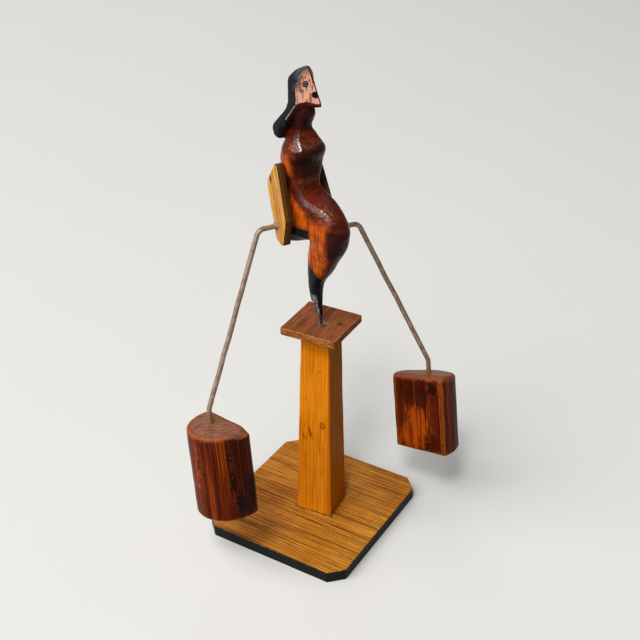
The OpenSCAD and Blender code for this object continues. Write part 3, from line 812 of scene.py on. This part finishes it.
def figureFinish():
    t = Finish("figureStain", figure, 0.06)
    t.shade["Coat Roughness"].default_value = 0.16
    height = t.parts(t.place)[2]
    _, fibres, pores, relief = t.grain((30, 18, 0), 3.4, 6.0, 1.0)

    streak = t.speckle(0.5, 4.0, 0.6, t.stretched((1, 1, 0.06)))
    bare = t.mix(t.patches(6.0, 0.4, 0.2), "orange", "rust")
    bare = t.mix(t.fade(streak, 0.48, 0.64, 0.0, 0.75), bare, "red")
    # painted shade with deeper stain: the neck, under the bust and the front of the knee
    deep = t.limit("deep", 3.0, 1.6)
    # arrises rubbed paler, partly a painted highlight along them
    edge = t.rubbed("ridge", 0.6, 0.5)
    # a little rust shows through the stain, and the painted highlights are dappled
    specks = t.fade(t.speckle(1.1, 3.0, 0.6), 0.6, 0.68, 0.0, 0.6)
    highlightDapple = t.fade(t.speckle(0.75, 5.0, 0.68), 0.44, 0.6, 0.02, 0.42)
    stain = t.coats(
        t.mix(t.patches(9.0, 0.52, 0.22), "deep", "red"),
        (t.fade(fibres, 0.5, 0.7, 0.0, 0.55), "deep"),
        (t.limit("bare", 6.0, 2.6), bare, 0.92),
        (deep, "deep", 0.93),
        (pores, "deep", 0.6),
        (t.times(specks, t.fade(deep, 0.0, 1.0, 1.0, 0.3)), "rust"),
        (edge, "rubbed", 0.7),
        # painted highlights on the bust, waist and thigh
        (t.times(t.limit("paintedHighlight", 3.4, 1.8), highlightDapple), "rubbed"),
        # painted shade under the seat
        (t.limit("seat", 1.0, 0.4), "black"),
    )
    cracks = t.fade(t.speckle(0.95, 4.0, 0.62, t.stretched((1, 1, 0.12))), 0.5, 0.61)
    worn = t.times(t.patches(3.2, 0.5, 0.16), t.fade(height, 136.0, 146.0, 1.0, 0.35))
    # a grey smudge by the hairline: dirt on the face, and painted sheen where it runs onto the hair
    fromHair = t.mark("face")
    nearHair = t.times(t.fade(fromHair, 0.4, 2.6, 1.0, 0.0), t.fade(height, 138.0, 142.0))
    smudgeAndSheen = t.times(t.patches(2.0, 0.6, 0.08), nearHair)
    skin = t.coats(t.mix(worn, "face", "pale"), (cracks, "crack", 0.85), (smudgeAndSheen, "smudgeAndSheen", 0.85))
    face, hair, boot = t.limit("face", 1.0, 0.15), t.limit("hair", 1.0, 0.2), t.limit("boot", 2.2, 0.25)
    # the black hair has grey scuffs and a painted highlight on its arrises, and a painted sheen of blue grey
    # on the crown, towards the face
    scuffAndSheen = t.larger(t.patches(4.5, 0.22, 0.12), edge)
    crown = t.times(smudgeAndSheen, t.fade(fromHair, -2.6, -0.3, 0.0, 0.7))
    black = t.coats("hair", (scuffAndSheen, "grey", 0.35), (crown, "smudgeAndSheen"))
    # painted reflection of the lamps on the boot's flank
    toeReflection = t.speckle(1.1, 4.0, 0.6, t.stretched((1, 1, 0.15)))
    toeReflection = t.times(t.limit("toe", 2.4, 0.4), t.fade(toeReflection, 0.42, 0.58, 0.75, 0.08))
    eye = t.mark("eye")
    colour = t.coats(
        stain,
        (face, skin),
        (hair, black),
        (boot, t.mix(t.patches(3.0, 0.06, 0.03), "boot", "crack")),
        (toeReflection, "scuffAndSheen"),
        # worn hair edge with a painted highlight
        (t.limit("hairLineWearAndHighlight", 0.3, 0.15), "hairLineWearAndHighlight", 0.75),
        (t.fade(eye, -0.12, 0.12), "black"),
        (t.times(t.fade(eye, 0.5, 0.65), t.fade(eye, 1.1, 1.25, 1.0, 0.0)), "grey"),
        (t.limit("scuff", 0.9, 0.2), "grey", 0.8),
        (t.limit("mouth", 0.7, 0.15), "black"),
    )
    gloss = t.fade(t.speckle(0.6, 5.0, 0.62), 0.32, 0.68, 0.14, 0.34)
    flank = t.fade(t.mark("flank"), -1.0, 1.5)
    matt = t.times(t.larger(face, t.times(hair, 0.6)), 0.25)
    rough = t.larger(t.plus(gloss, matt), t.times(flank, 0.85))
    # varnish, thickest on the faces that look up
    dry = t.larger(t.larger(face, flank), t.larger(t.times(hair, 0.85), boot))
    varnish = t.times(t.mark("varnish"), t.fade(t.speckle(0.7, 4.0, 0.65), 0.4, 0.58, 0.12, 1.0))
    t.feed(t.times(varnish, t.minus(1.0, dry)), t.shade["Coat Weight"])
    dimple = t.plus(t.speckle(0.5, 5.0, 0.62), t.times(relief, 0.4))
    dimple = t.plus(dimple, t.times(t.speckle(1.7, 3.0, 0.6), 0.3))
    dimple = t.minus(dimple, t.times(t.times(cracks, face), 0.8))
    return t.dress(colour, rough, dimple, 0.75, 0.55)


# how sharply the carving turns at each point: 1 on its arrises, 0 on flat and hollow places
def findRidges(bm):
    bend = []
    for v in bm.verts:
        steps = [e.other_vert(v).co - v.co for e in v.link_edges]
        bend.append(-sum(d.normalized().dot(v.normal) for d in steps) / max(len(steps), 1))
    near = [[e.other_vert(v).index for e in v.link_edges] for v in bm.verts]
    for _ in range(3):
        bend = [(bend[i] + sum(bend[k] for k in n)) / (1 + len(n)) for i, n in enumerate(near)]
    return [clampUnit((b - figure["ridgeFrom"]) / figure["ridgeSpan"]) for b in bend]


# varnish lies on what looks up, and is worn thin on the shoulders and on top of the hips
def varnishLeft(v):
    left = (115.5 - v.co.z) / 4 if v.co.z > 95 else (v.co.y + 7) / 9
    return clampUnit((v.normal.z - 0.08) / 0.4) * clampUnit(left)


def buildFigure():
    rough = newObject("figureRough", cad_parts["figure_body"].data.copy())
    even = rough.modifiers.new("even", "REMESH")
    even.mode, even.voxel_size = "VOXEL", figure["voxel"] * mm
    ease = rough.modifiers.new("ease", "SMOOTH")
    ease.factor, ease.iterations = 0.5, 2
    bm = evaluatedShape(rough)
    bpy.data.objects.remove(rough)
    bm.transform(figurePlace.inverted() @ Matrix.Scale(1 / mm, 4))
    bm.normal_update()
    bm.verts.ensure_lookup_table()
    ridges, varnish = findRidges(bm), [varnishLeft(v) for v in bm.verts]

    def wobble(p):
        ease = clampUnit(min(p.z - figure["keepBelow"], figure["keepAbove"] - p.z) / 2)
        return (wander(p, *figure["uneven"]) + wander(p, *figure["dimples"])) * ease

    node, slotName, finish = "figure_body", "figure_wood", figureFinish()
    piece = addPiece("figure", bm, figurePlace, "figure", node, finish, figureMarks, wobble, 180)
    keepMark(piece.data, "ridge", ridges)
    keepMark(piece.data, "varnish", varnish)


buildFigure()
print("figure carved")

arms = {
    "outline": [
        (-4, -7.4), (-2.4, -8.7), (1.6, -11.3), (4.8, -11.4), (6.4, -9.2), (14, 2.6), (14, 33.9),
        (13.1, 35.3), (11.0, 35.3), (8.2, 33.6), (-2.2, 26.6), (-3.6, 24.6), (-4, 21.5),
    ],
    "thick": 4.6, "corner": 1.6, "edge": 0.6, "slope": {1: 20.0, -1: 36.0}, "inner": {1: 16.0, -1: 9.2},
    "hand": {1: 61.0, -1: 51.0}, "rise": {1: 0.0, -1: 2.4}, "handForward": -15.2, "uneven": (7, 0.2),
    "nailUp": {1: 27.0, -1: 20.0}, "nailAcross": 2.5,
    "gold": (0.66, 0.27, 0.03), "grain": (0.20, 0.058, 0.006), "rim": (0.042, 0.009, 0.003),
    "pale": (0.90, 0.47, 0.09),
}


def handPlace(side):
    mirror = Matrix.Diagonal((side, 1, 1, 1))
    return figurePlace @ mirror @ move(0, arms["handForward"], arms["hand"][side])


def armPlace(side):
    return handPlace(side) @ move(arms["inner"][side], 0, 0) @ turn("X", arms["slope"][side])


def armFinish():
    t = Finish("armOak", arms)
    rings, fibres, pores, relief = t.grain((40, 22, 0), 2.1, 3.0, 0.9, 0.03, place=t.turned((-90, 0, 4)))
    stained = t.mix(t.limit("band", 0.9, 0.25), "rim", "gold", 0.3)
    wood = t.coats(
        t.mix(t.fade(fibres, 0.38, 0.6), "pale", "gold"),
        (rings, "grain", 0.85),
        (t.fade(fibres, 0.54, 0.66, 0.0, 0.75), "grain"),
        (pores, "grain", 0.85),
        (t.patches(7.0, 0.25, 0.12), "grain", 0.45),
        (t.limit("rim", 1.0, 0.3), stained, 0.93),
        (t.limit("spot", 1.4, 0.35), "rim", 0.9),
    )
    return t.dress(wood, t.fade(fibres, 0.3, 0.7, 0.3, 0.5), relief, 0.5, 0.3)


armOak = armFinish()


def buildArm(name, node, side):
    thick, outline = arms["thick"], [(x, y + arms["rise"][side]) for x, y in arms["outline"]]
    rings = plateRings(outline, thick, arms["corner"], arms["edge"], arms["edge"], (1.0, 2.4), 6, 4)
    # across, up, out -> plate frame
    upright = Matrix(((0, 0, 1, 0), (1, 0, 0, 0), (0, 1, 0, 0), (0, 0, 0, 1)))
    nailSpot = Vector((arms["nailAcross"], arms["nailUp"][side]))
    marks = {
        "rim": lambda p: min(p.z, thick - p.z) - depthInside(outline, p) + 0.45,
        # a paler line along the rim, and iron stain round the nail
        "band": lambda p: 0.25 - abs(p.z - thick * 0.68),
        "spot": lambda p: 1.7 - math.hypot(p.x - nailSpot.x, (p.y - nailSpot.y) * 0.6),
    }

    def wobble(p):
        return Vector((*wander(p, *arms["uneven"], side * 4.0).xy, 0))

    place = armPlace(side) @ upright
    addPiece(name, skinRings(rings), place, "figure", node, armOak, marks, wobble)
    nailPlace = armPlace(side) @ move(thick, *nailSpot) @ turn("Y", -90)
    buildNail(name + "Nail", node + "_nail", nailPlace, "figure", nails["armLength"], 3.0 + side)


for side, word in sideNames.items():
    buildArm(word + "Arm", word + "_arm", side)
print("arms nailed on")

wires = {
    "thick": 3.0, "reach": 32.0, "weightReach": 74.7, "fall": 108.6, "end": 9.0, "rake": 10.5, "bend": 5.5,
    "tail": {1: 6.0, -1: 0.0}, "socket": 20.0, "uneven": 0.28, "bareLength": 6.5,
    "steel": (0.40, 0.29, 0.22), "dark": (0.21, 0.14, 0.10), "brass": (0.34, 0.19, 0.06),
}
beads = {
    "thick": 5.0, "length": 1.4, "lumps": (1.8, 0.25), "glue": (0.30, 0.29, 0.26), "dark": (0.13, 0.12, 0.10),
}


def wireFinish():
    t = Finish("wireSteel", wires)
    cloud = t.patches(3.5, 0.45, 0.2)
    steel = t.mix(cloud, "steel", "dark")
    steel = t.mix(t.limit("bare", 2.0, 0.8), steel, "brass", 0.8)
    t.feed(t.fade(cloud, 0.0, 1.0, 0.55, 0.3), t.shade["Metallic"])
    drawn = t.speckle(1.1, 5.0, 0.6, t.stretched((1, 1, 0.4)))
    return t.dress(steel, t.fade(cloud, 0.0, 1.0, 0.4, 0.6), drawn, 0.35, 0.12)


def glueFinish():
    t = Finish("glueBead", beads)
    cloud = t.patches(1.5, 0.5, 0.2)
    glue = t.mix(cloud, "glue", "dark")
    return t.dress(glue, t.fade(cloud, 0.0, 1.0, 0.35, 0.6), t.speckle(1.2, 4.0, 0.6), 0.5, 0.2)


# out through the hand, down and outwards, then upright into the weight
def wirePath(side):
    bend, reach, weightReach = wires["bend"], wires["reach"], wires["weightReach"]
    run = wires["fall"] - wires["end"]
    splay = math.atan((weightReach - reach) / run)
    first, second = bend * math.tan((math.pi / 2 - splay) / 2), bend * math.tan(splay / 2)
    start = arms["inner"][side] - wires["tail"][side]
    path = [Vector((start + (reach - first - start) * k / 8, 0, 0)) for k in range(8)]
    for k in range(11):
        part = (math.pi / 2 - splay) * k / 10
        path.append(Vector((reach - first + bend * math.sin(part), 0, bend * (math.cos(part) - 1))))
    down = Vector((math.sin(splay), 0, -math.cos(splay)))
    top = path[-1].copy()
    slant = run / math.cos(splay) - first - second
    for k in range(1, 48):
        wave = math.sin(math.pi * k / 48) ** 0.5
        sway = wander((0, 0, k * 0.22), 1.0, wires["uneven"], 7.0 * side)
        path.append(top + down * slant * k / 48 + Vector((sway.x, sway.y, 0)) * wave)
    centre = Vector((weightReach - second * math.sin(splay), 0, -run + second * math.cos(splay)))
    centre -= Vector((math.cos(splay), 0, math.sin(splay))) * bend
    for k in range(9):
        part = splay * (1 - k / 8)
        path.append(centre + Vector((math.cos(part), 0, math.sin(part))) * bend)
    low, high = -wires["fall"] - wires["socket"], path[-1].z
    for k in range(1, 11):
        path.append(Vector((weightReach, 0, high + (low - high) * k / 10)))
    return path


def wirePlace(side):
    return handPlace(side) @ turn("X", wires["rake"])


wireSteel, glueGrey = wireFinish(), glueFinish()


def buildWire(name, node, side):
    rod = skinRings(tubeRings(wirePath(side), wires["thick"] / 2))
    marks = {"bare": lambda p: -wires["fall"] + wires["bareLength"] - p.z}
    addPiece(name, rod, wirePlace(side), "figure", node, wireSteel, marks, None, 60)


def buildBead(name, node, side):
    outer, length = beads["thick"] / 2, beads["length"]
    profile = [
        (1.45, -0.05), (outer, 0.0), (outer * 0.98, length * 0.25), (outer * 0.86, length * 0.62),
        (1.72, length), (1.4, length * 0.9),
    ]

    def lumps(p):
        return wander(p, *beads["lumps"], side * 2.4) if p.z > 0.1 else Vector()

    place = handPlace(side) @ move(arms["inner"][side] + arms["thick"], 0, 0) @ turn("Y", 90)
    bead = turnedShape(profile, 24)
    addPiece(name, bead, place, "figure", node, glueGrey, None, lumps, 60)


for side, word in sideNames.items():
    buildWire(word + "Wire", word + "_wire", side)
    buildBead(word + "WireBead", word + "_wire_bead", side)
print("wires bent")

weights = {
    "round": 40.0, "depth": {1: 26.0, -1: 29.0}, "height": {1: 54.5, -1: 51.0}, "wireIn": {1: 10.0, -1: 12.0},
    "shift": {1: 4.0, -1: -2.0}, "turn": {1: 15.0, -1: -28.0}, "slope": {1: 0.0, -1: 17.0},
    "lean": {1: 0.0, -1: 6.0}, "topEdge": {1: 1.8, -1: 2.2}, "flatEdge": {1: 1.2, -1: 3.6}, "lowEdge": 1.2,
    "cornerEase": 0.315, "uneven": (11, 0.3), "chip": {1: 2.8, -1: 0.0}, "lip": {1: 2.2, -1: 3.4},
    "deep": (0.024, 0.003, 0.001), "red": (0.12, 0.015, 0.002), "orange": (0.46, 0.078, 0.003),
    "line": (0.36, 0.058, 0.004), "worn": (0.34, 0.095, 0.022), "burnt": (0.006, 0.003, 0.003),
    "end": (0.36, 0.16, 0.09), "endGrain": (0.13, 0.04, 0.017), "endRim": (0.38, 0.13, 0.06),
}


def weightFinish(name):
    t = Finish(name, weights, 0.05)
    _, fibres, _, relief = t.grain((46, 12, 0), 2.6, 3.0, 0.8)
    cloud = t.patches(8.0, 0.36, 0.24, place=t.stretched((1, 1, 0.25)))
    # thin upright lines, some dark and some orange
    dark = t.speckle(0.6, 4.0, 0.65, t.stretched((1, 1, 0.016)))
    bright = t.speckle(0.62, 3.0, 0.6, t.stretched((1, 1, 0.01), t.vector("ADD", t.place, (37, 11, 0))))
    tall, taller = t.stretched((1, 1, 0.6)), t.stretched((1, 1, 0.45))
    bare = t.mix(t.fade(fibres, 0.46, 0.64), "orange", "red")
    lines = t.speckle(1.8, 4.0, 0.6, t.stretched((0.1, 1, 1), t.turned((0, 0, 20))))
    sawn = t.mix(t.fade(lines, 0.42, 0.6), "end", "endGrain")
    rim = t.limit("lip", 5.0, 0.7)
    wood = t.coats(
        t.mix(cloud, "red", "deep", 0.75),
        (t.fade(dark, 0.5, 0.6, 0.0, 0.85), "deep"),
        (t.fade(bright, 0.57, 0.59, 0.0, 0.8), "line"),
        (t.limit("worn", 18.0, 3.0, place=taller), bare, 0.9),
        (t.limit("dark", 15.0, 1.8, place=tall), "deep", 0.68),
        (t.limit("burnt", 9.0, 0.5, place=tall), "burnt", 0.9),
        (t.rubbed("edge", 0.72, 0.4), "worn", 0.5),
        (rim, "endRim", 0.5),
        (t.limit("end", 1.6, 0.5), sawn, 0.92),
        (t.times(t.patches(3.2, 0.32, 0.1), rim), "endGrain", 0.6),
    )
    rough = t.fade(dark, 0.35, 0.65, 0.28, 0.5)
    return t.dress(wood, rough, t.plus(relief, t.times(dark, -1.2)), 0.6, 0.5)


# middle of the round side, measured out from the wire
def weightCentre(side):
    return -weights["wireIn"][side] + weights["depth"][side] - weights["round"] / 2


def weightOutline(side, inset):
    centre, radius = weightCentre(side), weights["round"] / 2 - inset
    flat = -weights["wireIn"][side] + inset
    half = math.acos(max(-1, min(1, (flat - centre) / radius)))
    swings = [half * (1 - 2 * k / 60) for k in range(61)]
    arc = [Vector((centre + radius * math.cos(a), radius * math.sin(-a))) for a in swings]
    straight = [arc[-1].lerp(arc[0], eased(k, 24)) for k in range(1, 24)]
    # the two upright edges are eased a little
    for i in (0, -1):
        arc[i] = arc[i].lerp(Vector((centre, 0)), weights["cornerEase"] / radius)
    return [p + Vector((0, weights["shift"][side])) for p in arc + straight]


# distances to the flat side, the round side, the underside and the top
def weightFaces(side, p):
    away = math.hypot(p.x - weightCentre(side), p.y - weights["shift"][side])
    out = p.x + weights["wireIn"][side]
    return [out, weights["round"] / 2 - away, p.z + weights["height"][side], -p.z]


# insets and heights from the underside to the top, for one rounding of the top edge
def weightSteps(side, over):
    height, low = weights["height"][side], weights["lowEdge"]
    steps = [(low + inset, -height) for inset in (6.0, 3.0)]
    steps += [(low * s, -height + low * c) for s, c in quarterTurn(4)]
    steps += [(0.0, -height + low + (height - low - over) * k / 16) for k in range(1, 17)]
    steps += [(over * c, -over * s) for s, c in quarterTurn(6)[1:]]
    return steps + [(over + inset, 0.0) for inset in (1.0, 2.5, 5.0, 7.0)]


def weightRings(side):
    # the rounding over the top is heavier along the flat face
    overs = []
    for p in weightOutline(side, 0.0):
        flatness = clampUnit(1 - (p.x + weights["wireIn"][side]) / 3)
        over = weights["topEdge"][side] * (1 - flatness) + weights["flatEdge"][side] * flatness
        overs.append(round(over, 2))
    steps = {over: weightSteps(side, over) for over in overs}
    insets = {round(inset, 3) for row in steps.values() for inset, _ in row}
    outlines = {inset: weightOutline(side, inset) for inset in insets}
    rings = []
    for n in range(len(steps[overs[0]])):
        ring = []
        for i, over in enumerate(overs):
            inset, z = steps[over][n]
            ring.append(Vector((*outlines[round(inset, 3)][i], z)))
        rings.append(ring)
    return rings


# how deep a point lies inside the nearest of some oval spots, in millimetres
def blot(p, *spots):
    level = -20.0
    for spot, spread in spots:
        away = Vector([(c - m) / k for c, m, k in zip(p, spot, spread)])
        level = max(level, (1 - away.length) * min(spread))
    return level


weightMarks = {
    1: {
        "worn": lambda p: blot(p, ((16, 4, -25), (5, 7, 32))) - 4.5,
        "dark": lambda p: min(p.y - 12, 4.0 - p.x),
        "burnt": lambda p: blot(
            p, ((4.6, 22.0, -13.5), (1.8, 1.8, 3)), ((4.2, 22.0, -30), (2.4, 2.4, 7)),
            ((1.2, 23, -44), (2.8, 2.8, 8)), ((-8, 23, -38), (3, 3, 12)),
        ) - 0.3,
    },
    -1: {
        "worn": lambda p: blot(p, ((-12, -3.5, -35), (6, 8, 13)), ((-12, -9, -43), (6, 8, 8))),
        "dark": lambda p: blot(
            p, ((-12, -4, -12), (6, 13, 11)), ((-12, 6, -44), (6, 6, 9)), ((10, 10, -25), (14, 12, 40))
        ) - 1.2,
        "burnt": lambda p: blot(p, ((-12, 9.0, -9), (4, 4, 6)), ((8, 16, -40), (9, 6, 14))) - 1.0,
    },
}


def buildWeight(name, node, side):
    height = weights["height"][side]
    slope, lean = [math.tan(math.radians(weights[label][side])) for label in ("slope", "lean")]
    marks = {
        "edge": lambda p: nearEdge(weightFaces(side, p), 3.0),
        "end": lambda p: min(weightFaces(side, p)[:2]) + p.z - 2.4,
        "lip": lambda p: p.z + weights["lip"][side],
        **weightMarks[side],
    }

    def wobble(p):
        lift = (p.y * lean - p.x * slope) * clampUnit((p.z + height) / height)
        # one corner of the near block's top is knocked off
        chip = clampUnit((p.y - 17) / 6) * clampUnit((p.z + 9) / 9) * clampUnit((2 - p.x) / 6)
        lift -= weights["chip"][side] * chip
        return wander(p, *weights["uneven"], 1.3 * side) + Vector((0, 0, lift))

    place = wirePlace(side) @ move(wires["weightReach"], 0, -wires["fall"]) @ turn("Z", weights["turn"][side])
    block, finish = skinRings(weightRings(side)), weightFinish(name + "Wood")
    addPiece(name, block, place, "figure", node, finish, marks, wobble, 50)


for side, word in sideNames.items():
    buildWeight(word + "Weight", word + "_weight", side)
print("weights hung")

studio = {
    "floor": (0.74, 0.74, 0.72), "floorDim": (0.7178, 0.7178, 0.6984), "bounce": (0.26, 0.257, 0.25),
    "world": (0.92, 0.95, 1.0), "worldStrength": 0.10, "backdrop": 0.62,
}
# each lamp's spot, the height it looks at, its size in metres, its power and its colour
lamps = {
    "windowLight": ((-1.45, -3.35, 3.7), 0.14, 6.3, 352.0, (1.0, 0.98, 0.95)),
    "glint": ((0.5, -1.75, 2.85), 0.2, 0.8, 38.0, (1.0, 0.98, 0.95)),
    "softFill": ((-1.6, 2.0, 1.6), 0.14, 2.0, 14.0, (0.95, 0.97, 1.0)),
}
view = {
    "spot": (0.29511, -0.48208, 0.48241), "angles": (59.186, 0.063, 31.006), "lens": 62.77, "sensor": 36.0,
}


def buildFloor():
    bm = bmesh.new()
    bmesh.ops.create_grid(bm, x_segments=8, y_segments=8, size=6.0)
    mesh = newMesh("floor", bm)
    t = Finish("floorPale", studio)
    t.place = t.add("ShaderNodeTexCoord").outputs["Object"]
    pale = t.mix(t.speckle(5.0, 3.0), "floor", "floorDim")
    # pale to the eye and in reflections, but it throws less light back on the object
    ray = t.add("ShaderNodeLightPath").outputs
    seen = t.larger(ray["Is Camera Ray"], t.larger(ray["Is Glossy Ray"], ray["Is Transmission Ray"]))
    t.feed(t.mix(seen, "bounce", pale), t.shade["Base Color"])
    t.shade["Roughness"].default_value = 0.8
    mesh.materials.append(t.material)
    floor = newObject("floor", mesh)


def addLamp(name, spot, aimHeight, size, power, colour):
    lamp = bpy.data.lights.new(name, "AREA")
    lamp.shape, lamp.size, lamp.energy, lamp.color = "DISK", size, power, colour
    holder = newObject(name, lamp)
    holder.location = spot
    holder.rotation_euler = (Vector((0, 0, aimHeight)) - Vector(spot)).to_track_quat("-Z", "Y").to_euler()


buildFloor()
for name, values in lamps.items():
    addLamp(name, *values)

world = bpy.data.worlds.new("studio")
world.use_nodes = True
t, sky = Nodes(world.node_tree), world.node_tree.nodes["Background"].inputs
sky["Color"].default_value = (*studio["world"], 1.0)
# a pale backdrop to the eye, a dimmer light on the object
looked = t.add("ShaderNodeLightPath").outputs["Is Camera Ray"]
t.feed(t.fade(looked, 0.0, 1.0, studio["worldStrength"], studio["backdrop"]), sky["Strength"])
scene.world = world
scene.view_settings.view_transform = "Standard"

lens = bpy.data.cameras.new("camera")
lens.lens, lens.sensor_width, lens.sensor_fit = view["lens"], view["sensor"], "HORIZONTAL"
lens.clip_start, lens.clip_end = 0.01, 20.0
camera = newObject("camera", lens)
camera.location = view["spot"]
camera.rotation_euler = [math.radians(angle) for angle in view["angles"]]
scene.camera = camera
print("studio set")
